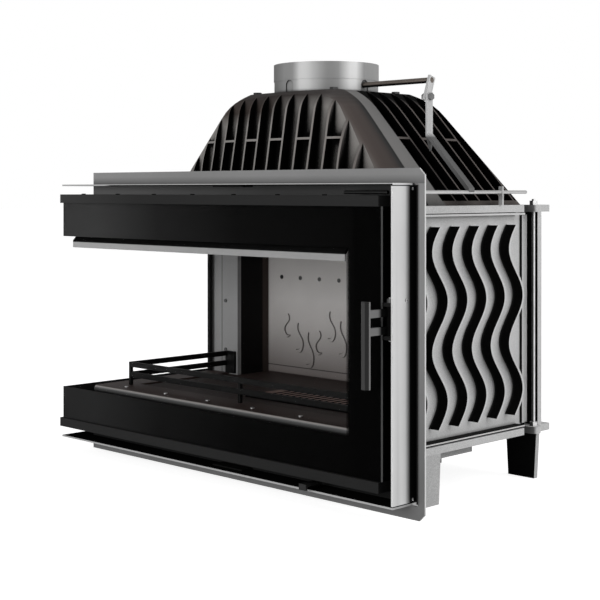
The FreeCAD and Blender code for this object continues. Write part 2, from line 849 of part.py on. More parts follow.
def linings():
    """Back lining with a relief of tongues of fire, side linings, and the baffle on top of them."""
    tall = ("hearth_low", "lining_top")
    blank = block("back_blank", ("jamb_right", "lining_face"), ("back_face", "rear"), tall)
    groove_low = "hearth_top + lining_groove_rise"
    groove = block("back_groove", ("jamb_right", "lining_face"),
                   ("back_face", "back_face + lining_groove_depth"),
                   (groove_low, f"{groove_low} + lining_groove_width"))
    plate = cut("back_plate", blank, [groove])
    middle = (size("jamb_right") + size("lining_face")) / 2
    count = int(number("lining_face - jamb_right - flame_edge") // size("flame_pitch"))
    flames = []
    for index in range(count):
        row = abs(index % 4 - 2)
        offset = size("flame_pitch") * (index - (count - 1) / 2)
        foot = size("flame_base") + size("flame_rise") * row
        height = size("flame_height") * (1 + 0.25 * (index % 3))
        curl = size("flame_curl") * (1 if index % 3 else -1)
        flames.append(flame(f"flame_{index + 1}", middle + offset, foot, height, curl))
    keep(fuse("back_lining", [plate] + flames), "back_lining")
    keep(block("right_lining", ("lining_face", "lining_face + lining_thick"),
               ("inner_front", "rear"), ("base_high", "lining_top")), "right_lining")
    keep(block("left_lining", ("jamb_right - lining_thick", "jamb_right"),
               ("front + jamb_setback + jamb_thick", "rear"), ("base_high", "lining_top")),
         "left_lining")
    keep(block("smoke_baffle", ("jamb_right", "lining_face + lining_thick"),
               ("front + baffle_setback", "rear"), ("lining_top", "lining_top + baffle_thick")),
         "smoke_baffle")


def airwash():
    """Bent strips behind the glass: a short upright edge, then a slope up to the lintel."""
    def section(near, seat):
        edge = f"{near} + airwash_sheet"
        rise = "airwash_low + airwash_lip"
        return [
            (near, "airwash_low"),
            (edge, "airwash_low"),
            (edge, rise),
            (seat, "opening_high"),
            (seat, "opening_high + airwash_seat"),
            (near, f"{rise} + airwash_sheet"),
        ]
    near_front = "glass_back + airwash_gap"
    near_left = "glass_inner + airwash_side_gap"
    keep(padded("airwash_front", "YZ_Plane", section(near_front, "front"),
                (near_left, "right - airwash_right_inset")), "airwash_front")
    keep(padded("airwash_left", "XZ_Plane", section(near_left, "left"),
                ("front", "hinge_y - airwash_hinge_gap")), "airwash_left")


def log_guard():
    """Two low rails on posts, along the front and the left side of the hearth."""
    x0, y0 = "left + guard_side_inset", "front + guard_setback"
    x1, y1 = "right - guard_right_inset", "front + jamb_setback"
    top = "sill_top + guard_height"
    pieces = []
    for name, high in (("top", top), ("lower", f"{top} - guard_rail - guard_lower + guard_bar")):
        z = (f"{high} - guard_rail", high)
        pieces.append(block(f"guard_front_{name}", (x0, x1), (y0, f"{y0} + guard_bar"), z))
        pieces.append(block(f"guard_left_{name}", (x0, f"{x0} + guard_bar"), (y0, y1), z))
    post_z = ("sill_top", top)
    for index in range(2):
        start = f"{x0} + {index} * guard_post_pitch"
        pieces.append(block(f"guard_post_{index + 1}", (start, f"{start} + guard_bar"),
                            (y0, f"{y0} + guard_bar"), post_z))
    pieces.append(block("guard_post_right", (f"{x1} - guard_bar", x1), (y0, f"{y0} + guard_bar"),
                        post_z))
    pieces.append(block("guard_post_rear", (x0, f"{x0} + guard_plate"), (f"{y1} - guard_bar", y1),
                        post_z))
    keep(fuse("log_guard", pieces), "log_guard")


def air_control():
    """Air box with slots in its floor, the slotted slider under it, its rails and its lever."""
    y = ("airbox_front", "airbox_back")
    outer = block("airbox_blank", ("airbox_left", "airbox_right"), y, ("airbox_low", "leg_height"))
    inner = block("airbox_hollow", ("airbox_left + airbox_wall", "airbox_right - airbox_wall"),
                  ("airbox_front + airbox_wall", "airbox_back - airbox_wall"),
                  ("airbox_low + airbox_wall", "leg_height"))
    slot_y = ("slots_front", "slots_back")
    starts = [f"lever_x + {index} * air_slot_pitch - air_slot / 2" for index in (-1, 0, 1)]
    floor_slots = [
        block(f"airbox_slot_{index + 1}", (start, f"{start} + air_slot"), slot_y,
              ("airbox_low", "airbox_low + airbox_wall"))
        for index, start in enumerate(starts)
    ]
    keep(cut("air_box", outer, [inner] + floor_slots), "air_box")
    half = "(air_slot_pitch * 3 / 2 + slider_margin)"
    plate = block("slider_plate", (f"lever_x - {half}", f"lever_x + {half}"),
                  ("slider_front", "slider_back"), ("slider_low", "slider_high"))
    slider_slots = [
        block(f"slider_slot_{index + 1}",
              (f"{start} + slider_travel / 2", f"{start} + air_slot + slider_travel / 2"), slot_y,
              ("slider_low", "slider_high"))
        for index, start in enumerate(starts)
    ]
    lever_x = ("lever_x - lever_width / 2", "lever_x + lever_width / 2")
    lever_top = "lever_level + lever_thick"
    stem_back = "slots_front - slider_margin + slider_ledge + 2 * lever_thick"
    bar = block("lever_bar", lever_x, ("front - lever_reach", stem_back),
                ("lever_level", lever_top))
    stem = block("lever_stem", lever_x, (f"{stem_back} - lever_thick", stem_back),
                 (lever_top, "slider_low"))
    grip = block("lever_grip_tab", lever_x,
                 ("front - lever_reach", "front - lever_reach + lever_thick"),
                 ("lever_level - lever_grip", lever_top))
    keep(fuse("air_slider", [cut("slider_vaned", plate, slider_slots), bar, stem, grip]),
         "air_slider")
    rail_x = (f"lever_x - {half} - slider_travel", f"lever_x + {half} + slider_travel")
    rails = []
    for name, edge, side in (("front", "slider_front", -1), ("back", "slider_back", 1)):
        gap = f"{edge} + {side} * slider_clear"
        web = (gap, f"{gap} + slider_rail") if side > 0 else (f"{gap} - slider_rail", gap)
        ledge = f"{edge} - {side} * slider_ledge"
        ledge_y = (ledge, web[1]) if side > 0 else (web[0], ledge)
        low = "slider_low - slider_clear - slider_rail"
        rails.append(fuse(f"slider_rail_{name}", [
            block(f"rail_web_{name}", rail_x, web, (low, "airbox_low")),
            block(f"rail_ledge_{name}", rail_x, ledge_y, (low, f"{low} + slider_rail")),
        ]))
    keep(group("slider_rails", rails), "slider_rails")


def rounded_plan(left, right, half_y, front_corner, rear_corner, bow, level):
    """A closed plan around the flue's axis: a bowed front between wide corners, small rear corners."""
    centre = Vector(size("flue_x"), size("flue_y"), level)
    bow_left = bow * ((left - front_corner) / (right - front_corner)) ** 2
    corners = (
        (right, half_y - bow, front_corner, -45), (right, half_y, rear_corner, 45),
        (-left, half_y, rear_corner, 135), (-left, half_y - bow_left, front_corner, 225),
    )
    arcs = []
    for reach_x, reach_y, radius, middle_angle in corners:
        side_x = math.copysign(1, reach_x)
        side_y = math.copysign(1, math.sin(math.radians(middle_angle)))
        hub = centre + Vector(reach_x - side_x * radius, side_y * (reach_y - radius), 0)
        ends = []
        for angle in (middle_angle - 45, middle_angle, middle_angle + 45):
            turn = math.radians(angle)
            ends.append(hub + Vector(math.cos(turn), math.sin(turn), 0) * radius)
        arcs.append(ends)
    edges = []
    for index, (start, middle, end) in enumerate(arcs):
        edges.append(Part.Arc(start, middle, end).toShape())
        if index + 1 < len(arcs):
            edges.append(Part.LineSegment(end, arcs[index + 1][0]).toShape())
        else:
            edges.append(Part.Arc(end, centre + Vector(0, -half_y, 0), arcs[0][0]).toShape())
    return Part.Wire(edges)


def rib_slots(low_reach, high_reach, starts, width, turn, depth_high, bowed=False):
    """Slots between ribs on one slope: prisms outside the slope set in by the rib depth.

    They are drawn for the right-hand slope, around the flue's axis, then turned about it.
    Every second slot is parted by a tie between its ribs. A bowed slope's floors fall back with it.
    """
    low = size("top_high") + size("rib_foot")
    high = size("plateau")
    fall = (low_reach - high_reach) / size("dome_height")
    far = 2 * low_reach
    tie_low = size("top_high") + size("rib_tie_level")
    tie_high = tie_low + size("rib_tie_thick")

    flat_low = size("dome_reach_right") - size("dome_front_corner")
    flat_high = size("plateau_half") - size("plateau_corner")

    def floor_at(level, offset):
        share = (level - size("top_high")) / size("dome_height")
        depth_foot, depth_top = size("rib_depth_low"), depth_high
        if bowed:
            depth_foot += size("dome_bow") * (offset / flat_low) ** 2
            depth_top += size("rib_bow_high") * (offset / flat_high) ** 2
        depth = depth_foot + share * (depth_top - depth_foot)
        return low_reach - fall * (level - size("top_high")) - depth

    slots = []
    for index, start in enumerate(starts):
        middle = start + width / 2
        levels = ((low, high),) if index % 2 else ((low, tie_low), (tie_high, high))
        for bottom, top in levels:
            corners = [
                Vector(floor_at(bottom, middle), start, bottom), Vector(far, start, bottom),
                Vector(far, start, top), Vector(floor_at(top, middle), start, top),
            ]
            face = Part.Face(Part.makePolygon(corners + corners[:1]))
            slots.append(face.extrude(Y_AXIS * width))
    axis = Vector(size("flue_x"), size("flue_y"), 0)
    for slot in slots:
        slot.rotate(ORIGIN, Z_AXIS, turn)
        slot.translate(axis)
    return slots


def dome():
    """Hollow ribbed dome from the top plate up to the flue's collar."""
    top_high, plateau = size("top_high"), size("plateau")
    left, right = size("dome_reach_left"), size("dome_reach_right")
    half_y, half_top = size("dome_half_depth"), size("plateau_half")
    top_right, top_left, top_y = size("plateau_right"), size("plateau_left"), size("plateau_depth")
    shoulder = size("shoulder_height")

    def plan(level):
        share = (level - top_high) / size("dome_height")
        fall = max(0, 1 - (plateau - level) / shoulder) ** 3

        def reach(low, high, drop=None):
            straight = size(low) + share * (size(high) - size(low))
            return straight - fall * size(drop) if drop else straight

        return rounded_plan(reach("dome_reach_left", "plateau_left", "shoulder_left"),
                            reach("dome_reach_right", "plateau_right", "shoulder_right"),
                            reach("dome_half_depth", "plateau_depth", "shoulder_depth"),
                            reach("dome_front_corner", "plateau_corner", "shoulder_depth"),
                            size("dome_rear_corner"), reach("dome_bow", "plateau_bow"), level)

    shoulder_steps = (0, 0.3, 0.5, 0.65, 0.8, 0.9, 1)
    levels = [top_high] + [plateau - shoulder * (1 - step) for step in shoulder_steps]
    shell = Part.makeLoft([plan(level) for level in levels], True, True)
    pitch, rib = size("rib_front_pitch"), size("rib_thick")
    count = int((size("rib_left_reach") + size("rib_right_reach")) // pitch)
    front_starts = [index * pitch - size("rib_left_reach") + rib / 2 for index in range(count)]
    side_pitch = size("rib_side_pitch")
    side_count = int(size("rib_side_reach") // side_pitch)
    side_starts = [index * side_pitch - size("rib_side_first") for index in range(side_count)]
    slot_width = side_pitch - rib
    mirrored = [-start - slot_width for start in side_starts]
    slots = rib_slots(half_y, top_y, front_starts, pitch - rib, -90, size("rib_depth_high"), bowed=True)
    side_depth = size("rib_side_depth_high")
    side_slots = rib_slots(right, top_right, side_starts, slot_width, 0, side_depth)
    side_slots += rib_slots(left, top_left, mirrored, slot_width, 180, side_depth)
    rim, flue_y, far = size("rib_rear_rim"), size("flue_y"), 2 * left
    corners = [
        Vector(size("flue_x") - far, flue_y - half_y, top_high),
        Vector(size("flue_x") - far, flue_y + half_y - rim, top_high),
        Vector(size("flue_x") - far, flue_y + top_y - rim, plateau),
        Vector(size("flue_x") - far, flue_y - half_y, plateau),
    ]
    within = Part.Face(Part.makePolygon(corners + corners[:1])).extrude(X_AXIS * 2 * far)
    slots += [slot.common(within) for slot in side_slots]
    wall_low, wall_high = size("dome_wall_low"), size("dome_wall_high")
    ceiling = plateau - size("dome_roof")
    smoke = Part.makeLoft([
        rounded_plan(left - wall_low, right - wall_low, half_y - wall_low,
                     size("dome_front_corner") - wall_low, size("dome_rear_corner"),
                     size("dome_bow"), top_high),
        rounded_plan(half_top - wall_high, half_top - wall_high, half_top - wall_high,
                     size("plateau_corner") - wall_high / 2, size("dome_rear_corner"),
                     size("plateau_bow"), ceiling),
    ], True, True)
    throat = Part.makeCylinder(size("flue_bore"), plateau - ceiling + size("dome_roof"),
                               Vector(size("flue_x"), size("flue_y"), ceiling - size("dome_roof")))
    keep(feature("dome", shell.cut(slots + [smoke, throat])), "dome")
    bolts = []
    for index, (side_x, side_y) in enumerate(((1, 1), (1, -1), (-1, 1), (-1, -1))):
        bolts.append(hex_bar(f"dome_bolt_{index + 1}", "dome_bolt_radius", "z",
                             ("plateau", "plateau + dome_bolt_height"),
                             (f"flue_x + {side_x} * dome_bolt_x", f"flue_y + {side_y} * dome_bolt_y")))
    keep(group("dome_bolts", bolts), "dome_bolts")


def flue_collar():
    """Flue spigot on a neck with four arched recesses and two holes for the damper shaft."""
    z = ("plateau", "collar_top")
    axis = ("flue_x", "flue_y")
    ring = fuse("collar_ring", [
        round_bar("collar_neck", "flue_radius - neck_depth", "z", ("plateau", "spigot_low"), axis),
        round_bar("collar_spigot", "flue_radius", "z", ("spigot_low", "collar_top"), axis),
    ])
    tools = [round_bar("collar_bore", "flue_bore", "z", z, axis)]
    arch_foot = "plateau + arch_height - arch_half_width"
    near, far = "(flue_radius - arch_depth)", "(flue_radius + arch_depth)"
    width = ("- arch_half_width", "+ arch_half_width")
    for name, side in (("minus", -1), ("plus", 1)):
        span = sorted((near, far), key=lambda reach: side * number(reach))
        x_span = tuple(f"flue_x + {side} * {reach}" for reach in span)
        y_span = tuple(f"flue_y + {side} * {reach}" for reach in span)
        x_wide = tuple(f"flue_x {half}" for half in width)
        y_wide = tuple(f"flue_y {half}" for half in width)
        tools += [
            block(f"arch_x_{name}", x_span, y_wide, ("plateau", arch_foot)),
            round_bar(f"arch_x_{name}_top", "arch_half_width", "x", x_span, ("flue_y", arch_foot)),
            block(f"arch_y_{name}", x_wide, y_span, ("plateau", arch_foot)),
            round_bar(f"arch_y_{name}_top", "arch_half_width", "y", y_span, ("flue_x", arch_foot)),
        ]
    tools.append(round_bar("shaft_hole", "shaft_radius + shaft_running", "x",
                           ("flue_x - flue_radius", "flue_x + flue_radius"), ("flue_y", "shaft_z")))
    keep(cut("flue_collar", ring, tools), "flue_collar")


def damper():
    """Disc on a flatted shaft, with a forked crank at the shaft's right-hand end."""
    bar = round_bar("shaft_bar", "shaft_radius", "x", ("flue_x - shaft_tail", "crank_right"),
                    ("flue_y", "shaft_z"))
    disc_radius = "flue_bore - disc_clear"
    flat = block("shaft_flat", (f"flue_x - ({disc_radius})", f"flue_x + ({disc_radius})"),
                 ("flue_y - shaft_radius", "flue_y + shaft_radius"),
                 ("shaft_z", "shaft_z + shaft_radius"))
    keep(cut("damper_shaft", bar, [flat]), "damper_shaft")
    keep(round_bar("damper_disc", disc_radius, "z", ("shaft_z", "shaft_z + disc_thick"),
                   ("flue_x", "flue_y")), "damper_disc")
    near = size("crank_drop")
    slot_half = size("crank_bolt_radius") + size("crank_slot_play")
    along = X_AXIS * size("crank_thick")
    half = size("crank_width") / 2

    def slab(y_half, low, high):
        corners = [
            Vector(0, -y_half, low), Vector(0, y_half, low), Vector(0, y_half, high),
            Vector(0, -y_half, high),
        ]
        return Part.Face(Part.makePolygon(corners + corners[:1])).extrude(along)

    def disc(level, radius):
        return Part.makeCylinder(radius, size("crank_thick"), Vector(0, 0, level), X_AXIS)

    play = size("crank_bolt_radius") + size("crank_slot_end")
    crank = slab(half, -size("crank_below"), size("crank_above"))
    crank = crank.cut([
        disc(0, size("shaft_radius")),
        slab(slot_half, -size("crank_below"), -near + play - slot_half),
        disc(-near + play - slot_half, slot_half),
    ])
    item = feature("damper_crank", crank)
    item.Placement = Placement(Vector(size("crank_left"), size("flue_y"), size("shaft_z")),
                               Rotation(X_AXIS, -size("crank_tilt")))
    keep(item, "damper_crank")


def damper_control():
    """Control rod along the top plate's edge, its arm up to the crank, the bolt and the bracket."""
    rod_z = ("rod_x", "rod_level")
    shank = round_bar("rod_shank", "rod_radius", "y", ("rod_front_y", "rod_rear_y"), rod_z)
    grip = round_bar("rod_grip", "rod_radius", "x",
                     ("rod_x - rod_handle_left", "rod_x + rod_handle_right"),
                     ("rod_front_y", "rod_level"))
    keep(fuse("control_rod", [shank, grip]), "control_rod")
    bend = "bolt_z - arm_bend_drop"
    foot = "rod_level + rod_radius"
    across = ("bolt_y - arm_width / 2", "bolt_y + arm_width / 2")
    arm = padded("control_arm_blank", "XZ_Plane", [
        ("arm_left", "bolt_z + arm_above_bolt"),
        ("arm_left", bend),
        ("rod_x - rod_radius", foot),
        ("rod_x - rod_radius", "rod_level"),
        ("rod_x + rod_radius", "rod_level"),
        ("rod_x + rod_radius", f"{foot} + arm_sheet"),
        ("arm_right", f"{bend} + arm_sheet"),
        ("arm_right", "bolt_z + arm_above_bolt"),
    ], across)
    centre = ("bolt_y", "bolt_z")
    head = ("crank_left - arm_gap - crank_head", "crank_left - arm_gap")
    hole = round_bar("arm_bolt_hole", "crank_bolt_radius", "x", ("arm_left", "arm_right"), centre)
    eye = round_bar("arm_rod_eye", "rod_radius", "y", across, rod_z)
    tab = padded("control_arm_tab", "YZ_Plane", [
        (across[0], bend),
        (across[1], bend),
        (across[1], f"{bend} - arm_tab_drop / 2"),
        ("bolt_y + arm_tab_tip", f"{bend} - arm_tab_drop"),
    ], ("arm_left", "arm_right"))
    keep(cut("control_arm", fuse("control_arm_whole", [arm, tab]), [hole, eye]), "control_arm")
    keep(fuse("crank_bolt", [
        hex_bar("crank_bolt_head", "crank_head_radius", "x", head, centre),
        round_bar("crank_bolt_shank", "crank_bolt_radius", "x", (head[1], "arm_right"), centre),
        hex_bar("crank_bolt_nut", "crank_head_radius", "x", ("arm_right", "arm_right + crank_head"),
                centre),
    ]), "crank_bolt")
    post = block("bracket_post", ("rod_x - bracket_width / 2", "rod_x + bracket_width / 2"),
                 ("front + bracket_setback", "front + bracket_setback + bracket_thick"),
                 ("top_high", "top_high + bracket_height"))
    guide = round_bar("bracket_eye", "rod_radius + rod_running", "y",
                      ("front + bracket_setback", "front + bracket_setback + bracket_thick"), rod_z)
    keep(cut("rod_bracket", post, [guide]), "rod_bracket")


def door():
    """L-shaped door: grooved rails, two panes that meet at the corner, stiles and the seal."""
    plan = corner_plan("door_left", "door_front", "door_back", "door_inner", "door_right",
                       "door_rear")
    pane_x = ("glass_left", "glass_right")
    pane_z = ("glass_low + glass_clear", "glass_high - glass_clear")
    rails = (
        ("door_top_rail", ("door_high - rail_height", "door_high"),
         ("door_high - rail_height", "glass_high"),
         ("door_high - rail_height", "door_high - rail_height + hinge_engage")),
        ("door_bottom_rail", ("door_low", "door_low + rail_height"),
         ("glass_low", "door_low + rail_height"),
         ("door_low", "door_low + hinge_engage")),
    )
    for label, z, groove_z, socket_z in rails:
        bar = padded(f"{label}_bar", "XY_Plane", plan, z)
        socket = socket_z if label == "door_bottom_rail" else ("door_high - hinge_engage", "door_high")
        tools = [
            block(f"{label}_groove_front", ("glass_left - glass_clear", "glass_right + glass_clear"),
                  ("glass_front - glass_clear", "glass_back + glass_clear"), groove_z),
            block(f"{label}_groove_side", ("glass_left - glass_clear", "glass_inner + glass_clear"),
                  ("glass_back", "glass_rear + glass_clear"), groove_z),
            round_bar(f"{label}_socket", "hinge_pin_radius + hinge_running", "z", socket,
                      ("hinge_x", "hinge_y")),
        ]
        keep(cut(label, bar, tools), label)
    keep(block("front_glass", pane_x, ("glass_front", "glass_back"), pane_z), "front_glass")
    keep(block("side_glass", ("glass_left", "glass_inner"), ("glass_back", "glass_rear"), pane_z),
         "side_glass")
    between = ("door_low + rail_height", "door_high - rail_height")
    keep(block("door_right_stile", ("door_right - stile_width", "door_right"),
               ("glass_back + glass_clear", "door_back"), between), "door_right_stile")
    keep(block("door_hinge_stile", ("glass_inner + glass_clear", "door_inner"),
               ("door_rear - hinge_stile_width", "door_rear"), between), "door_hinge_stile")
    seal_y = ("door_back", "front - seal_clear")
    seal_x = ("door_inner", "left - seal_clear")
    levels = (("low", ("door_low + seal_inset", "door_low + seal_inset + seal_width")),
              ("high", ("door_high - seal_inset - seal_width", "door_high - seal_inset")))
    seal_right = ("door_right - (stile_width + seal_width) / 2",
                  "door_right - (stile_width - seal_width) / 2")
    seal_rear = ("hinge_y - seal_inset - seal_width", "hinge_y - seal_inset")
    tall = ("door_low + seal_inset", "door_high - seal_inset")
    runs = [
        block("seal_right", seal_right, seal_y, tall),
        block("seal_rear", seal_x, seal_rear, tall),
    ]
    for name, z in levels:
        runs.append(block(f"seal_front_{name}", (seal_x[0], seal_right[1]), seal_y, z))
        runs.append(block(f"seal_left_{name}", seal_x, (seal_y[0], seal_rear[1]), z))
    keep(fuse("door_seal", runs), "door_seal")
    screws = []
    count = 1 + int(number("door_right - door_left - 2 * door_screw_end") // size("door_screw_pitch"))
    for index in range(count):
        x = f"door_left + door_screw_end + {index} * door_screw_pitch"
        screws.append(round_bar(f"door_screw_{index + 1}", "door_screw_radius", "z",
                                ("door_high", "door_high + door_screw_height"),
                                (x, "(door_front + door_back) / 2")))
    keep(group("door_screws", screws), "door_screws")


def hinge_pins():
    """Pins on the frame's lips: the lower one has a collar just under the door."""
    centre = ("hinge_x", "hinge_y")
    upper = round_bar("hinge_pin_upper", "hinge_pin_radius", "z",
                      ("door_high - hinge_engage + hinge_lift", "lip_high - lip_sheet"), centre)
    lower = fuse("hinge_pin_lower", [
        round_bar("hinge_pin_shank", "hinge_pin_radius", "z",
                  ("lip_low + lip_sheet", "door_low + hinge_engage - hinge_lift"), centre),
        round_bar("hinge_pin_collar", "hinge_collar_radius", "z",
                  ("lip_low + lip_sheet", "door_low - hinge_lift"), centre),
    ])
    keep(group("hinge_pins", [upper, lower]), "hinge_pins")


def handle():
    """Handle on a vertical pin at the door's right edge, with the latch hook on the pin's top."""
    lugs = []
    for name, low in (("low", "lug_low"), ("high", "lug_high")):
        z = (low, f"{low} + lug_thick")
        lug = block(f"lug_{name}_blank", ("door_right", "pivot_x + sleeve_radius"),
                    ("pivot_y - sleeve_radius", "pivot_y + sleeve_radius"), z)
        bore = round_bar(f"lug_{name}_bore", "pivot_radius + pivot_running", "z", z,
                         ("pivot_x", "pivot_y"))
        lugs.append(cut(f"lug_{name}", lug, [bore]))
    keep(group("handle_bracket", lugs), "handle_bracket")
    keep(round_bar("handle_pin", "pivot_radius", "z",
                   ("lug_low - pivot_end", "hook_low + hook_thick + pivot_end"),
                   ("pivot_x", "pivot_y")), "handle_pin")
    sleeve_z = ("lug_low + lug_thick + lug_clear", "lug_high - lug_clear")
    sleeve = round_bar("sleeve_blank", "sleeve_radius", "z", sleeve_z, ("pivot_x", "pivot_y"))
    bar_back = "handle_front + handle_thick"
    arms = [sleeve]
    for name, low in (("low", f"{sleeve_z[0]} + arm_inset"),
                      ("high", f"{sleeve_z[1]} - arm_inset - arm_height")):
        arms.append(block(f"arm_{name}", ("handle_left + handle_width - arm_inset - arm_thick",
                                          "handle_left + handle_width - arm_inset"),
                          (bar_back, "pivot_y"), (low, f"{low} + arm_height")))
    bore = round_bar("sleeve_bore", "pivot_radius", "z", sleeve_z, ("pivot_x", "pivot_y"))
    keep(cut("handle_arms", fuse("arms_and_sleeve", arms), [bore]), "handle_arms")
    handle_right = "handle_left + handle_width"
    cheek = "handle_front + handle_chamfer"
    keep(padded("handle_bar", "XY_Plane", [
        ("handle_left + handle_chamfer", "handle_front"),
        (f"{handle_right} - handle_chamfer", "handle_front"),
        (handle_right, cheek),
        (handle_right, bar_back),
        ("handle_left", bar_back),
        ("handle_left", cheek),
    ], ("handle_base", "handle_base + handle_length")), "handle_bar")
    left, finger = -size("hook_left"), size("hook_finger") - size("hook_left")
    reach, nose = size("hook_reach"), size("hook_nose")
    tip = reach + size("hook_nose_depth")
    corners = [
        Vector(left, 0, 0), Vector(finger, 0, 0), Vector(finger, reach, 0),
        Vector(finger + nose, reach, 0), Vector(finger + nose, tip, 0), Vector(left, tip, 0),
    ]
    depth = Z_AXIS * size("hook_thick")
    hook = Part.Face(Part.makePolygon(corners + corners[:1])).extrude(depth)
    hook = hook.fuse(Part.makeCylinder(size("sleeve_radius"), size("hook_thick")))
    hook = hook.cut(Part.makeCylinder(size("pivot_radius"), size("hook_thick"))).removeSplitter()
    item = feature("latch_hook", hook)
    item.Placement = Placement(Vector(size("pivot_x"), size("pivot_y"), size("hook_low")),
                               Rotation(Z_AXIS, size("hook_release")))
    keep(item, "latch_hook")
    centre = ("pivot_y + hook_reach - striker_clear - striker_radius", "hook_low + hook_thick / 2")
    keep(fuse("striker", [
        round_bar("striker_stud", "striker_radius", "x",
                  ("lip_right_in - striker_length", "lip_right_in"), centre),
        hex_bar("striker_nut", "striker_head_radius", "x",
                ("lip_right_in - striker_head", "lip_right_in"), centre),
    ]), "striker")


def small_screws():
    """Screws of the sill, the rear left post and the back lining."""
    screws = []
    for index in range(5):
        x = f"left + sill_screw_first + {index} * sill_screw_pitch"
        screws.append(round_bar(f"sill_screw_{index + 1}", "screw_radius", "z",
                                ("sill_top", "sill_top + screw_height"),
                                (x, "front + sill_screw_setback")))
    jamb_y = ("front + jamb_setback - screw_height", "front + jamb_setback")
    for index in range(2):
        screws.append(round_bar(f"jamb_screw_{index + 1}", "screw_radius", "y", jamb_y,
                                ("(inner_left + jamb_right) / 2",
                                 f"jamb_screw_low + {index} * jamb_screw_gap")))
    count = 1 + int(number("lining_face - jamb_right - 2 * back_screw_end") // size("back_screw_pitch"))
    for index in range(count):
        x = f"jamb_right + back_screw_end + {index} * back_screw_pitch"
        screws.append(round_bar(f"back_screw_{index + 1}", "screw_radius", "y",
                                ("back_face - screw_height", "back_face"), (x, "back_screw_level")))
    keep(group("lining_screws", screws), "lining_screws")


body_castings()
tie_bolts()
legs()
frame()
hearth()
linings()
airwash()
log_guard()
air_control()
dome()
flue_collar()
damper()
damper_control()
door()
hinge_pins()
handle()
small_screws()
doc.recompute()

for item in doc.Objects:
    if "Invalid" in item.State or "Error" in item.State:
        raise RuntimeError(f"{item.Label} did not build: {item.State}")
for item in SUBPARTS:
    if item.Shape.isNull() or not item.Shape.isValid() or not item.Shape.Solids:
        raise RuntimeError(f"{item.Label} has no valid solid")

os.makedirs("parts", exist_ok=True)
for item in SUBPARTS:
    item.Shape.exportStep(os.path.join("parts", f"{item.Label}.step"))
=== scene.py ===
import math

import bmesh
import bpy
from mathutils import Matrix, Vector


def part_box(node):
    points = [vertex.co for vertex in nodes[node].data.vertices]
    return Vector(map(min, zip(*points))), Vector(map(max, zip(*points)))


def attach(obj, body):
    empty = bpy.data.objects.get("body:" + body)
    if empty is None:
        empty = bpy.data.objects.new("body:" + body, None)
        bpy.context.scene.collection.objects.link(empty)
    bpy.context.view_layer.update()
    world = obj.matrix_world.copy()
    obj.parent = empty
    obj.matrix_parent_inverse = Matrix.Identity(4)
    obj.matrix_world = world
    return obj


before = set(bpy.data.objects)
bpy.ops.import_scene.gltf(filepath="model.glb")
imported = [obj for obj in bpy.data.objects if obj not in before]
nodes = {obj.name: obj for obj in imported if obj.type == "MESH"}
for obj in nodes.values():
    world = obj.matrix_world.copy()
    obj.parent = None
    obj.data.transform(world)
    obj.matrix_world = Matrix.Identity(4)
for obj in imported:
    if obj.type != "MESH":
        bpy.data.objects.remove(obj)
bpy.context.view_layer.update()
scene = bpy.context.scene
scene.view_settings.view_transform = "Standard"

X, Y, Z = 0, 1, 2


def box(name):
    """A node's low and high corners."""
    return tuple(Vector(corner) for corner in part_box(name))


def linear(level):
    """An 8-bit grey or colour as a linear colour, by the sRGB curve."""
    values = level if isinstance(level, tuple) else (level,) * 3
    return tuple(v / 255 / 12.92 if v <= 10 else ((v / 255 + 0.055) / 1.055) ** 2.4 for v in values)


def scaled(colour, factor):
    return tuple(part * factor for part in colour)


BLACK = linear(18)


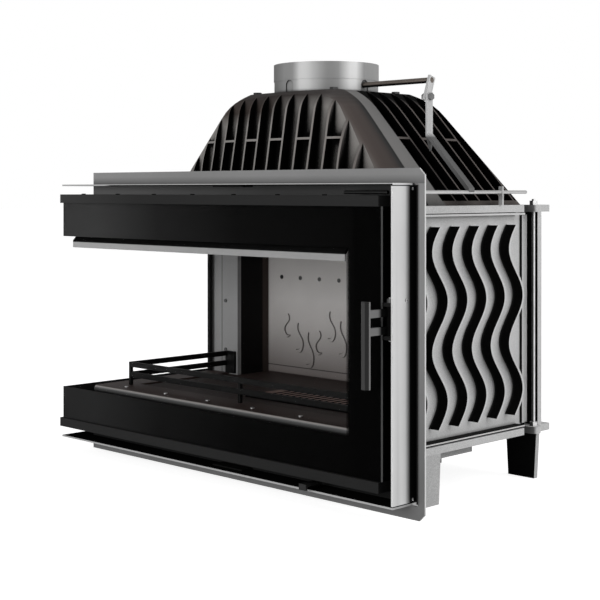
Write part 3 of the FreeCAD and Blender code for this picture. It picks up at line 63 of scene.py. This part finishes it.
class Paint:
    """A node material with a Principled shader and helpers that add to its inputs."""

    def __init__(self, name, metallic=0.0, roughness=0.5, specular=0.5):
        self.material = bpy.data.materials.new(name)
        self.material.use_nodes = True
        self.tree = self.material.node_tree
        self.shader = self.tree.nodes["Principled BSDF"]
        self.shader.inputs["Metallic"].default_value = metallic
        self.shader.inputs["Roughness"].default_value = roughness
        self.shader.inputs["Specular IOR Level"].default_value = specular
        self.shine = specular
        self.tone = None

    def add(self, kind, **settings):
        node = self.tree.nodes.new(kind)
        for key, value in settings.items():
            setattr(node, key, value)
        return node

    def feed(self, value, socket):
        if isinstance(value, bpy.types.NodeSocket):
            self.tree.links.new(value, socket)
        elif isinstance(value, tuple):
            socket.default_value = (*value, 1)
        else:
            socket.default_value = value

    def math(self, operation, first, second=0.0):
        node = self.add("ShaderNodeMath", operation=operation)
        self.feed(first, node.inputs[0])
        self.feed(second, node.inputs[1])
        return node.outputs[0]

    def span(self, source, low, high):
        """0 at one value of the source, 1 at another, and held outside them."""
        node = self.add("ShaderNodeMapRange")
        self.feed(source, node.inputs["Value"])
        self.feed(low, node.inputs["From Min"])
        self.feed(high, node.inputs["From Max"])
        return node.outputs["Result"]

    def part(self, output, axis):
        split = self.add("ShaderNodeSeparateXYZ")
        self.feed(self.add("ShaderNodeTexCoord").outputs[output], split.inputs[0])
        return split.outputs[axis]

    def place(self, axis, low, high):
        """0 to 1 between two coordinates along an axis."""
        return self.span(self.part("Object", axis), low, high)

    def facing(self, axis, low, high):
        """0 to 1 between two values of the surface normal's part along an axis."""
        return self.span(self.part("Normal", axis), low, high)

    def both(self, first, second):
        return self.math("MULTIPLY", first, second)

    def front(self):
        """1 on faces turned to the front."""
        return self.facing(Y, -0.5, -0.8)

    def right(self):
        """1 on faces turned to the right."""
        return self.facing(X, 0.5, 0.8)

    def between(self, axis, low, high, soft):
        """1 between two coordinates along an axis, fading out over a soft width beyond them."""
        return self.both(self.place(axis, low - soft, low), self.place(axis, high + soft, high))

    def noise(self, scale, detail=3.0, stretch=(1, 1, 1)):
        mapping = self.add("ShaderNodeMapping")
        self.feed(self.add("ShaderNodeTexCoord").outputs["Object"], mapping.inputs["Vector"])
        mapping.inputs["Scale"].default_value = stretch
        texture = self.add("ShaderNodeTexNoise")
        self.feed(mapping.outputs["Vector"], texture.inputs["Vector"])
        self.feed(scale, texture.inputs["Scale"])
        self.feed(detail, texture.inputs["Detail"])
        return texture.outputs["Fac"]

    def hollow(self, reach, dark, light):
        """1 in a hollow and 0 in the open, from the ambient occlusion over a reach."""
        occlusion = self.add("ShaderNodeAmbientOcclusion", samples=16)
        self.feed(reach, occlusion.inputs["Distance"])
        return self.span(occlusion.outputs["AO"], light, dark)

    def mix(self, factor, first, second, blend="MIX"):
        node = self.add("ShaderNodeMix", data_type="RGBA", blend_type=blend)
        self.feed(factor, node.inputs[0])
        self.feed(first, node.inputs[6])
        self.feed(second, node.inputs[7])
        return node.outputs[2]

    def colour(self, source):
        self.tone = source
        self.feed(source, self.shader.inputs["Base Color"])

    def cover(self, factor, colour):
        """Lay another colour over the present one where the factor is 1."""
        self.colour(self.mix(factor, self.tone, colour))

    def black(self, factor, colour=BLACK):
        """Lay a dull dark colour over the present one where the factor is 1."""
        self.cover(factor, colour)
        self.shine = self.both(self.shine, self.math("SUBTRACT", 1.0, factor))
        self.feed(self.shine, self.shader.inputs["Specular IOR Level"])

    def ramp(self, source, stops):
        """A colour ramp; each stop is a position and a colour."""
        node = self.add("ShaderNodeValToRGB")
        elements = node.color_ramp.elements
        while len(elements) < len(stops):
            elements.new(0.5)
        for element, (position, colour) in zip(elements, stops):
            element.position = position
            element.color = (*colour, 1)
        self.feed(source, node.inputs["Fac"])
        return node.outputs["Color"]

    def mottle(self, source, colour, spread):
        """The colour a little darker and lighter along the source."""
        self.colour(self.mix(self.span(source, 0.3, 0.7), scaled(colour, 1 - spread),
                             scaled(colour, 1 + spread)))

    def gloss(self, source, low, high):
        node = self.add("ShaderNodeMapRange")
        self.feed(source, node.inputs["Value"])
        self.feed(low, node.inputs["To Min"])
        self.feed(high, node.inputs["To Max"])
        self.feed(node.outputs["Result"], self.shader.inputs["Roughness"])

    def bump(self, source, strength, distance):
        node = self.add("ShaderNodeBump")
        self.feed(strength, node.inputs["Strength"])
        self.feed(distance, node.inputs["Distance"])
        self.feed(source, node.inputs["Height"])
        self.feed(node.outputs["Normal"], self.shader.inputs["Normal"])

    def through(self, factor):
        """Let light straight through where the factor is 0."""
        clear = self.add("ShaderNodeBsdfTransparent")
        mix = self.add("ShaderNodeMixShader")
        self.feed(factor, mix.inputs[0])
        self.feed(clear.outputs[0], mix.inputs[1])
        self.feed(self.shader.outputs[0], mix.inputs[2])
        self.feed(mix.outputs[0], self.tree.nodes["Material Output"].inputs["Surface"])


def cast_iron(name, level, rough=0.55, spread=0.07, specular=0.5):
    """Painted casting: cloudy tone and a fine sandy grain."""
    paint = Paint(name, specular=specular)
    cloud = paint.noise(9)
    sand = paint.noise(700, 2)
    paint.mottle(cloud, linear(level), spread)
    grain = paint.ramp(sand, ((0.35, (0, 0, 0)), (0.65, (1, 1, 1))))
    paint.colour(paint.mix(0.18, paint.tone, grain, "OVERLAY"))
    paint.gloss(cloud, rough, rough + 0.12)
    paint.bump(sand, 0.2, 0.0004)
    return paint


def sheet_paint(name, level, rough=0.42, spread=0.05, specular=0.4):
    """Sprayed sheet metal: faint mottling and a fine orange peel."""
    paint = Paint(name, specular=specular)
    cloud = paint.noise(6, 2)
    paint.mottle(cloud, linear(level), spread)
    paint.gloss(cloud, rough, rough + 0.08)
    paint.bump(paint.noise(1400, 1), 0.06, 0.0003)
    return paint


def drawn_steel(name, level, rough=0.35, stretch=(1, 1, 1), metallic=0.7):
    """Drawn or brushed steel: fine streaks along one direction."""
    paint = Paint(name, metallic)
    streak = paint.noise(80, 3, stretch)
    paint.mottle(streak, linear(level), 0.12)
    paint.gloss(streak, rough, rough + 0.14)
    paint.bump(streak, 0.08, 0.0002)
    return paint


fins = cast_iron("finned_casting", 205)
# Painted shade: faces turned to the front or back (the fin sides) are painted black.
fins.black(fins.span(fins.math("ABSOLUTE", fins.part("Normal", Y)), 0.15, 0.4))
# Painted shade: darker in the hollows between the fins, from ambient occlusion.
fins.cover(fins.hollow(0.012, 0.35, 0.75), linear(60))
base_high = box("base_plate")[1].z
rim_top = base_high + 0.02
rim_foot = base_high + 0.0025
# Painted shade: upward faces at the rim, under the fin panel, are painted dark.
rim = fins.both(fins.facing(Z, 0.5, 0.9), fins.place(Z, rim_top + 0.01, rim_top))
fins.black(rim, linear(44))
# Painted shade: black below the panel's foot, a painted shadow gap above the base plate.
fins.black(fins.place(Z, rim_foot + 0.0003, rim_foot))

plates = cast_iron("plate_casting", 196, 0.5)
# Painted shade: faces turned downwards are painted darker.
plates.cover(plates.facing(Z, -0.5, -0.9), linear(70))
# Painted shade: faces turned to the front are painted dark.
plates.black(plates.front(), linear(90))

legs = cast_iron("leg_casting", 182)
# Painted shade: the legs' faces turned to the front are painted black.
legs.black(legs.front())

rear = cast_iron("rear_casting", 196)
# Painted shade: the rear plate's faces turned to the front are painted black.
rear.black(rear.front())

air_box = cast_iron("air_box_casting", 158)
under = cast_iron("under_casting", 60)

lip_right_low, lip_right_high = box("lip_right")
lip_top_low, lip_top_high = box("lip_top")
frame_front_y = box("frame_front")[0].y
groove_shade = 0.004
lip_shade = 0.014
frame_paint = sheet_paint("frame_paint", 128)
# Painted light: the frame is painted lighter towards the left.
frame_paint.cover(frame_paint.place(X, -0.1, -0.4), linear(140))
# Painted shade: the frame is painted darker towards the bottom.
frame_paint.cover(frame_paint.place(Z, 0.36, 0.08), linear(100))
# Painted shadow: a dark band on the frame beside the right lip.
shade_beside_lip = frame_paint.both(frame_paint.between(Z, lip_right_low.z, lip_right_high.z, 0.001),
                              frame_paint.place(X, lip_right_high.x + groove_shade, lip_right_high.x))
frame_paint.cover(shade_beside_lip, linear(40))
# Painted shade: the frame darkens just above the top lip.
shade_over_lip = frame_paint.both(frame_paint.place(Z, lip_top_high.z - 0.001, lip_top_high.z),
                            frame_paint.place(Z, lip_top_high.z + lip_shade, lip_top_high.z))
frame_paint.cover(shade_over_lip, linear(92))
# Painted highlight: faces turned to the right are painted light.
frame_paint.cover(frame_paint.right(), linear(226))


def lip_paint(name, axis, inner):
    """Lip painted at the bright level of a face lit from the right (a painted highlight), with painted
    shade: its face towards the door is black.
    """
    paint = sheet_paint(name, 222, 0.35)
    paint.cover(paint.span(paint.noise(60, 3, (1, 1, 0.02)), 0.45, 0.75), linear(206))
    # Painted shade: the face turned towards the door is painted black.
    paint.black(paint.facing(axis, 0.5 * inner, 0.8 * inner))
    return paint


lips = {
    "lip_top": lip_paint("lip_top_paint", Z, -1),
    "lip_bottom": lip_paint("lip_bottom_paint", Z, 1),
    "lip_right": lip_paint("lip_right_paint", X, -1),
    "lip_rear": lip_paint("lip_rear_paint", Y, -1),
}
seam_height = 0.0014
seam_soft = 0.0003
right_lip = lips["lip_right"]
# Painted shade: the lip's outer face darkens towards the frame.
right_lip.cover(right_lip.place(Y, frame_front_y - 0.014, frame_front_y - 0.003), linear(50))
# Painted shade: black where the lip runs into the groove behind the frame's face.
right_lip.black(right_lip.place(Y, frame_front_y - 0.004, frame_front_y - 0.002))
for seam_edge, inward in ((lip_right_high.z, -1), (lip_right_low.z, 1)):
    right_lip.black(right_lip.place(Z, seam_edge + inward * (seam_height + seam_soft),
                                    seam_edge + inward * seam_height))

top_lip = lips["lip_top"]
top_edge = top_lip.front()
# Painted highlight: the top lip's front edge is painted lighter than the frame's front.
top_lip.cover(top_edge, linear(172))
# Painted shade: the lower half of the front edge is painted black, except at its left end.
lip_middle = (lip_top_low.z + lip_top_high.z) / 2
lower_half = top_lip.place(Z, lip_middle + 0.0002, lip_middle - 0.0002)
before_plate = top_lip.place(X, -0.31, -0.29)
top_lip.black(top_lip.both(top_edge, top_lip.both(before_plate, lower_half)))

low_lip = lips["lip_bottom"]
# Painted shade: faces of the bottom lip not turned upwards are painted darker.
low_lip.cover(low_lip.both(low_lip.facing(Z, 0.6, 0.3), 0.7), linear(150))

black_paint = sheet_paint("black_paint", 15, 0.45, specular=0.1)
rail_paint = sheet_paint("rail_paint", 34, 0.5, specular=0.1)
# Painted light: the rails are painted lighter towards the left.
rail_paint.cover(rail_paint.place(X, -0.2, -0.45), linear(54))
# Painted shade: darker low down, on the bottom rail.
rail_paint.cover(rail_paint.place(Z, 0.3, 0.25), linear(24))
dull_black = sheet_paint("dull_black", 6, 0.6, specular=0.0)
post_paint = sheet_paint("post_paint", 26, 0.55, specular=0.1)
lintel = sheet_paint("lintel_paint", 72, 0.55, specular=0.1)
# Painted light: the lintel is painted lighter towards the left.
lintel.cover(lintel.place(X, 0.1, -0.4), linear(116))

stile = sheet_paint("stile_paint", 7, 0.45, specular=0.0)
# Painted highlight: a thin light strip at the front of the stile's right-facing side.
edge_light_back = box("door_right_stile")[0].y + 0.0042
stile.cover(stile.both(stile.right(), stile.place(Y, edge_light_back + 0.0003, edge_light_back)), linear(150))

handle_paint = sheet_paint("handle_paint", 60, 0.35, specular=0.1)
# Painted light: the chamfers are painted darker and faces turned to the right lighter, as a highlight.
handle_paint.cover(handle_paint.facing(X, 0.3, 0.6), linear(34))
handle_paint.cover(handle_paint.facing(X, 0.85, 0.95), linear(122))
arm_root = -0.233
arm_paint = sheet_paint("handle_arm_paint", 112, 0.4)
# Painted shade: the arms fade to black towards the back, beside the door's edge.
arm_paint.black(arm_paint.place(Y, arm_root - 0.008, arm_root))

jamb_left = box("left_rear_post")[0].x
rebate = jamb_left + 0.0115
groove = jamb_left + 0.0363
groove_width = 0.0012
jamb = cast_iron("jamb_casting", 142)
# Painted shade: black in the rebate along the post's left edge.
jamb.black(jamb.place(X, rebate + 0.001, rebate))
jamb.black(jamb.between(X, groove, groove + groove_width, 0.0003))

sill_low = box("hearth_sill")[0]
nose_depth = 0.0035
nose_soft = 0.003
nose_x, nose_y = sill_low.x + nose_depth, sill_low.y + nose_depth
sill = cast_iron("sill_casting", (54, 42, 39), 0.45, 0.14, 0.2)
nosing = sill.math("MAXIMUM", sill.place(Y, nose_y + nose_soft, nose_y),
                   sill.place(X, nose_x + nose_soft, nose_x))
# Painted light: the sill is painted lighter towards the left.
sill.cover(sill.place(X, 0.1, -0.2), linear((66, 53, 50)))
# Painted highlight and shade on the rounded nosing: light near its top, darker below.
nose_light_and_shade = sill.ramp(sill.facing(Z, 1.0, -0.5), (
    (0.04, linear(70)), (0.12, linear((156, 152, 149))), (0.2, linear((160, 156, 153))), (0.3, linear(128)),
    (0.43, linear(90)), (0.8, linear(72)), (0.97, linear(48))))
sill.cover(nosing, nose_light_and_shade)

hearth = cast_iron("hearth_casting", (54, 43, 40), 0.5, 0.14, 0.2)
grate = cast_iron("grate_casting", (150, 124, 116), 0.5, 0.14, 0.3)
# Painted light and shade: the grate's tops keep the light base tone, front faces are painted darker and
# other faces black.
grate.cover(grate.facing(Y, -0.4, -0.8), linear((70, 57, 53)))
grate.black(grate.facing(Z, 0.6, 0.2), linear(12))

back_low = box("back_lining")[0]
darkening_height = 0.17
back = cast_iron("back_casting", (204, 201, 199), 0.5)
# Darker towards the bottom.
back.cover(back.place(Z, back_low.z + darkening_height, back_low.z), linear((98, 90, 87)))
# Painted shade: darker in the relief's hollows, from ambient occlusion.
back.cover(back.hollow(0.004, 0.45, 0.9), linear((40, 36, 35)))

strip_front = back_low.y - 0.016
# Painted shade: the side lining is painted near black, as it lies in shade.
side_lining = cast_iron("side_lining", (14, 13, 13), 0.6, specular=0.1)
side_lining.cover(side_lining.place(Y, strip_front, strip_front + 0.004), linear((66, 57, 53)))
dark_lining = cast_iron("dark_lining", (40, 37, 36), 0.6, specular=0.2)

airwash_fold = box("airwash_front")[0].z + 0.0105
airwash = sheet_paint("airwash_paint", 150, 0.4)
# Painted light: the airwash plate is painted lighter towards the left.
airwash.cover(airwash.place(X, 0.0, -0.4), linear(168))
# Painted shade: the sloped plate above the fold is painted black.
airwash.black(airwash.place(Z, airwash_fold, airwash_fold + 0.001))

collar = drawn_steel("collar_iron", (165, 165, 164), 0.42, (1, 1, 0.05), 0.3)
# Painted reflection: light and dark bands set by the normal's direction, standing in for the lights'
# reflections on the steel.
diagonal = collar.math("ADD", collar.part("Normal", X), collar.part("Normal", Y))
sheen_streaks = collar.ramp(collar.span(diagonal, -math.sqrt(2), math.sqrt(2)), (
    (0.0, linear(90)), (0.1, linear(142)), (0.18, linear(138)), (0.24, linear(190)), (0.37, linear(150)),
    (0.5, linear(126)), (0.6, linear(132)), (0.71, linear(206)), (0.77, linear(212)), (0.84, linear(146)),
    (1.0, linear(184))))
collar.cover(0.85, sheen_streaks)
neck_top = 0.7222
# Painted shade: dark in the hollows of the arched recesses, below the neck's top.
slot_shade = collar.both(collar.hollow(0.008, 0.55, 0.92), collar.place(Z, neck_top + 0.001, neck_top))
collar.cover(slot_shade, linear(50))

bolts = drawn_steel("bolt_steel", 212)
# Painted shade: faces turned to the front are painted dark.
bolts.black(bolts.facing(Y, -0.6, -0.85), linear(76))
dark_steel = drawn_steel("dark_steel", 70)
grey_steel = drawn_steel("grey_steel", 120)
screws = drawn_steel("screw_steel", 70, 0.25)
sill_screw_top = 0.145
# Painted highlight: the sill's screws, low down, are painted bright as glints.
screws.cover(screws.place(Z, sill_screw_top + 0.005, sill_screw_top), linear(206))
crank_steel = drawn_steel("crank_steel", 198, 0.4, (1, 1, 0.05), 0.3)
arm_steel = drawn_steel("arm_steel", 192, 0.4, (1, 1, 0.05), 0.3)
arm_bend = 0.612
# Painted shade: the arm is painted darker below the bend.
arm_steel.cover(arm_steel.place(Z, arm_bend + 0.006, arm_bend), linear(100))
rod_steel = drawn_steel("rod_steel", 196, 0.35, (1, 0.05, 1), 0.4)
rod_tip = -0.209
rod_steel.cover(rod_steel.place(Y, rod_tip + 0.004, rod_tip), BLACK)
shaft_steel = drawn_steel("shaft_steel", (112, 104, 98), 0.4, (0.05, 1, 1))
# Painted shade: faces turned downwards are painted black.
shaft_steel.black(shaft_steel.facing(Z, -0.1, -0.5))
lever_steel = drawn_steel("lever_steel", 30, 0.4)

dome = cast_iron("dome_casting", (130, 126, 123), 0.5, specular=0.3)
# Painted shade: the dome darkens as its surface turns towards the right.
turn = dome.ramp(dome.part("Normal", X), (
    (0.0, linear((136, 133, 130))), (0.2, linear((126, 121, 118))), (0.45, linear((100, 92, 88)))))
dome.cover(0.9, turn)
# Painted shade: faces turned to the left are painted darker.
dome.cover(dome.facing(X, -0.4, -0.6), linear((96, 90, 86)))
# Painted shade on the dome's top shoulder.
shoulder = dome.both(dome.place(Z, 0.640, 0.664), dome.place(X, 0.05, 0.0))
dome.cover(shoulder, linear((62, 54, 50)))
rib_front = -0.006
band_width = 0.029
corner_width = 0.044
crease = rib_front - band_width
side = dome.facing(X, 0.3, 0.45)
# Painted shade: the rounded corner darkens from the front towards the crease.
corner = dome.ramp(dome.place(Y, crease - corner_width, crease), (
    (0.0, linear((104, 100, 98))), (0.07, linear((92, 87, 84))), (0.14, linear((80, 73, 70))),
    (0.22, linear((68, 60, 57))), (0.4, linear((60, 52, 49))), (0.62, linear((56, 49, 46))),
    (0.76, linear((46, 40, 38))), (0.88, linear(30)), (0.97, linear(10))))
dome.cover(side, corner)
# Painted shade: the dome is painted darker over its top.
dome.cover(dome.place(Z, 0.668, 0.692), linear((38, 32, 30)))
# Painted light: the side band behind the crease gets the lighter tone of a face turned to the light.
lit_side_band = dome.both(side, dome.place(Y, crease - 0.001, crease + 0.001))
dome.cover(lit_side_band, linear((108, 107, 106)))
ribs = dome.both(side, dome.place(Y, rib_front, rib_front + 0.004))
dome.cover(ribs, linear((84, 78, 75)))
# Painted shade: the ribs are painted darker over the top.
dome.black(dome.both(ribs, dome.place(Z, 0.672, 0.688)), linear(26))
# Painted shade: faces turned upwards are painted darker.
dome.black(dome.facing(Z, 0.9, 0.98), linear((52, 45, 42)))
# Painted shade: the slots between the ribs are black, from ambient occlusion.
dome.black(dome.hollow(0.045, 0.62, 0.9), linear(8))

rope = Paint("seal_rope", roughness=0.9)
weave = rope.noise(700, 2, (1, 1, 0.4))
rope.mottle(weave, linear((52, 51, 49)), 0.5)
rope.bump(weave, 0.6, 0.001)

front_low, front_high = box("front_glass")
side_low, side_high = box("side_glass")
band_top, band_bottom, band_right = 0.074, 0.070, 0.073
band_fade = 0.009
fade_start = front_high.x - band_right
low_edge, high_edge = front_low.z + band_bottom, front_high.z - band_top


def enamel(name):
    """Black screen print on the back of the pane, with a painted reflection that grows lighter towards the
    left.
    """
    paint = Paint(name, roughness=0.1, specular=0.005)
    paint.mottle(paint.noise(40, 2), linear(6), 0.2)
    # Painted reflection: the print is painted lighter towards the left.
    along = paint.ramp(paint.place(X, 0.35, -0.4), (
        (0.0, linear(8)), (0.38, linear(16)), (0.67, linear(36)), (0.92, linear(64))))
    paint.cover(0.9, along)
    # Darker on the lower band, where less painted reflection is laid.
    paint.cover(paint.both(paint.place(Z, 0.3, 0.2), 0.5), linear(2))
    return paint


ink = enamel("glass_print")
soft_ink = enamel("glass_print_edge")
soft_ink.through(soft_ink.place(X, fade_start, fade_start + band_fade))

glass = Paint("ceramic_glass", roughness=0.03)
glass.mottle(glass.noise(14, 2), linear(20), 0.2)
fresnel = glass.add("ShaderNodeFresnel")
fresnel.inputs["IOR"].default_value = 1.06
outside = glass.math("SUBTRACT", 1.0, glass.add("ShaderNodeNewGeometry").outputs["Backfacing"])
clear = glass.both(glass.between(Z, low_edge, high_edge, 0.001),
                   glass.place(X, fade_start + band_fade, fade_start))
glass.through(glass.both(glass.both(fresnel.outputs[0], outside), clear))

FINISHES = {
    fins: ["right_side_plate"],
    plates: ["top_plate", "base_plate"],
    legs: ["front_right_leg", "front_left_leg", "rear_right_leg", "rear_left_leg"],
    rear: ["rear_plate"],
    air_box: ["air_box"],
    under: ["slider_rails"],
    frame_paint: ["frame_front", "frame_left"],
    black_paint: ["frame_clips", "door_hinge_stile", "handle_bracket", "log_guard", "striker"],
    dull_black: ["door_screws", "ash_pan"],
    rail_paint: ["door_top_rail", "door_bottom_rail"],
    stile: ["door_right_stile"],
    post_paint: ["right_front_post", "threshold"],
    lintel: ["lintel"],
    jamb: ["left_rear_post"],
    sill: ["hearth_sill"],
    hearth: ["hearth_plate"],
    grate: ["grate"],
    back: ["back_lining"],
    side_lining: ["left_lining"],
    dark_lining: ["right_lining", "smoke_baffle", "damper_disc"],
    airwash: ["airwash_front", "airwash_left"],
    dome: ["dome"],
    collar: ["flue_collar"],
    bolts: ["tie_bolts", "hinge_pins"],
    dark_steel: ["latch_hook", "dome_bolts"],
    grey_steel: ["crank_bolt", "handle_pin"],
    screws: ["lining_screws"],
    rod_steel: ["control_rod", "rod_bracket"],
    arm_steel: ["control_arm"],
    crank_steel: ["damper_crank"],
    shaft_steel: ["damper_shaft"],
    lever_steel: ["air_slider"],
    handle_paint: ["handle_bar"],
    arm_paint: ["handle_arms"],
    rope: ["door_seal"],
    glass: ["front_glass", "side_glass"],
}
for name, paint in lips.items():
    FINISHES[paint] = [name]
for paint, names in FINISHES.items():
    for name in names:
        nodes[name].data.materials.clear()
        nodes[name].data.materials.append(paint.material)

BEVELS = {
    0.0015: ["top_plate", "base_plate", "rear_plate", "front_right_leg", "front_left_leg", "rear_right_leg",
             "rear_left_leg", "hearth_plate", "left_rear_post"],
    0.0008: ["frame_front", "frame_left", "lip_top", "lip_bottom", "lip_right", "lip_rear", "door_top_rail",
             "door_bottom_rail", "door_right_stile", "handle_bar", "handle_arms", "control_arm",
             "damper_crank", "log_guard", "airwash_front", "tie_bolts", "dome_bolts", "back_lining"],
}
for width, names in BEVELS.items():
    for name in names:
        bevel = nodes[name].modifiers.new("edge", "BEVEL")
        bevel.width = width
        bevel.segments = 2
        bevel.limit_method = "ANGLE"


def add_piece(name, mesh, paint, body):
    """Put a bmesh into the scene as a piece that moves with a body."""
    bmesh.ops.recalc_face_normals(mesh, faces=mesh.faces)
    data = bpy.data.meshes.new(name)
    mesh.to_mesh(data)
    mesh.free()
    data.materials.append(paint.material)
    piece = bpy.data.objects.new(name, data)
    scene.collection.objects.link(piece)
    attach(piece, body)
    return piece


print_gap = 0.0003
print_thick = 0.0004


def band(name, across, start, end, low, high, paint=ink):
    """A printed strip behind the front pane (across X) or the side pane (across Y)."""
    if across == X:
        face_at, inward = front_high.y + print_gap, Vector((0, print_thick, 0))
    else:
        face_at, inward = side_high.x + print_gap, Vector((print_thick, 0, 0))
    mesh = bmesh.new()
    corners = []
    for along, level in ((start, low), (end, low), (end, high), (start, high)):
        place = (along, face_at, level) if across == X else (face_at, along, level)
        corners.append(mesh.verts.new(place))
    grown = bmesh.ops.extrude_face_region(mesh, geom=[mesh.faces.new(corners)])
    moved = [item for item in grown["geom"] if isinstance(item, bmesh.types.BMVert)]
    bmesh.ops.translate(mesh, vec=inward, verts=moved)
    add_piece(name, mesh, paint, "door")


band("print_top", X, front_low.x, front_high.x, high_edge, front_high.z)
band("print_bottom", X, front_low.x, front_high.x, front_low.z, low_edge)
band("print_right", X, fade_start, front_high.x, low_edge, high_edge, soft_ink)
band("print_side_top", Y, side_low.y, side_high.y, high_edge, side_high.z)
band("print_side_bottom", Y, side_low.y, side_high.y, side_low.z, low_edge)


SCREW_STEPS = 24
SOCKET_SHARE = 0.36
SOCKET_CORNER = math.radians(30)
SCREW_RINGS = ((1, 0), (1, 0.45), (0.75, 0.9), (0.42, 1), (SOCKET_SHARE, 0.4))


def socket_reach(angle):
    """A hexagon's reach at an angle, as a share of its corner circle."""
    return math.cos(SOCKET_CORNER) / math.cos(angle % (2 * SOCKET_CORNER) - SOCKET_CORNER)


def screw_head(name, place, radius, height):
    """A domed screw head with a hexagon socket, standing out along X."""
    mesh = bmesh.new()
    rings = []
    for share, rise in SCREW_RINGS:
        ring = []
        for step in range(SCREW_STEPS):
            angle = math.tau * step / SCREW_STEPS
            reach = radius * share
            if share == SOCKET_SHARE:
                reach *= socket_reach(angle)
            ring.append(mesh.verts.new((place.x + height * rise, place.y + reach * math.cos(angle),
                                        place.z + reach * math.sin(angle))))
        rings.append(ring)
    for inner, outer in zip(rings, rings[1:]):
        for step in range(SCREW_STEPS):
            after = (step + 1) % SCREW_STEPS
            mesh.faces.new((inner[step], inner[after], outer[after], outer[step]))
    mesh.faces.new(rings[0])
    mesh.faces.new(rings[-1])
    add_piece(name, mesh, bolts, "insert")


lip_face_x = lip_top_high.x
striker_low, striker_high = box("striker")
striker_middle = (striker_low + striker_high) / 2
lip_screw_place = Vector((lip_face_x, striker_middle.y, striker_middle.z))
screw_head("lip_screw", lip_screw_place, radius=0.0035, height=0.002)
groove_y = frame_front_y + 0.0035
groove_inset = 0.006
for end, level in (("top", lip_right_high.z - groove_inset), ("bottom", lip_right_low.z + groove_inset)):
    screw_head(f"groove_screw_{end}", Vector((lip_face_x, groove_y, level)), radius=0.0022, height=0.0015)


def stage_floor(tone, glow_strength):
    """Pale floor that keeps the object's shadow and shows white to the camera."""
    reach = 30.0
    mesh = bpy.data.meshes.new("floor")
    mesh.from_pydata([(-reach, -reach, 0), (reach, -reach, 0), (reach, reach, 0), (-reach, reach, 0)], [],
                     [(0, 1, 2, 3)])
    floor = bpy.data.objects.new("floor", mesh)
    scene.collection.objects.link(floor)
    paint = Paint("floor_paint", roughness=0.9)
    paint.mottle(paint.noise(2, 2), (tone, tone, tone), 0.02)
    path = paint.add("ShaderNodeLightPath")
    seen = paint.math("MAXIMUM", path.outputs["Is Camera Ray"], path.outputs["Is Glossy Ray"])
    glow = paint.add("ShaderNodeEmission")
    paint.feed(paint.both(seen, glow_strength), glow.inputs["Strength"])
    total = paint.add("ShaderNodeAddShader")
    paint.feed(paint.shader.outputs[0], total.inputs[0])
    paint.feed(glow.outputs[0], total.inputs[1])
    paint.feed(total.outputs[0], paint.tree.nodes["Material Output"].inputs["Surface"])
    mesh.materials.append(paint.material)


def lamp(name, place, target, width, height, power):
    data = bpy.data.lights.new(name, "AREA")
    data.shape = "RECTANGLE"
    data.size = width
    data.size_y = height
    data.energy = power
    light = bpy.data.objects.new(name, data)
    light.location = place
    light.rotation_euler = (Vector(target) - Vector(place)).to_track_quat("-Z", "Y").to_euler()
    scene.collection.objects.link(light)


def studio_world(soft):
    """Soft light all round, seen as plain white by the camera and through the panes."""
    world = bpy.data.worlds.new("studio")
    scene.world = world
    world.use_nodes = True
    tree = world.node_tree
    path = tree.nodes.new("ShaderNodeLightPath")
    seen = tree.nodes.new("ShaderNodeMath")
    seen.operation = "MAXIMUM"
    tree.links.new(path.outputs["Is Camera Ray"], seen.inputs[0])
    tree.links.new(path.outputs["Is Transmission Ray"], seen.inputs[1])
    strength = tree.nodes.new("ShaderNodeMapRange")
    strength.inputs["To Min"].default_value = soft
    strength.inputs["To Max"].default_value = 1.0
    tree.links.new(seen.outputs[0], strength.inputs["Value"])
    backdrop = tree.nodes["Background"]
    backdrop.inputs["Color"].default_value = (1, 1, 1, 1)
    tree.links.new(strength.outputs["Result"], backdrop.inputs["Strength"])


stage_floor(tone=0.59, glow_strength=0.84)
studio_world(soft=0.3)
lamp("key_right", (3.0, 0.6, 1.5), (0.3, 0.0, 0.35), 2.4, 2.0, 46)
lamp("fill_front", (0.4, -3.4, 0.85), (0, 0, 0.33), 2.2, 1.5, 58)
lamp("top_soft", (0, 0.2, 3.2), (0, 0, 0.3), 2.6, 2.0, 20)

view_direction = Vector((-1, 1, 0))
camera_data = bpy.data.cameras.new("camera")
camera_data.sensor_width = 36
camera_data.lens = 80.04
camera_data.shift_y = -0.1827
camera = bpy.data.objects.new("camera", camera_data)
camera.location = (1.7698, -1.7725, 0.520)
camera.rotation_euler = view_direction.to_track_quat("-Z", "Y").to_euler()
scene.collection.objects.link(camera)
scene.camera = camera
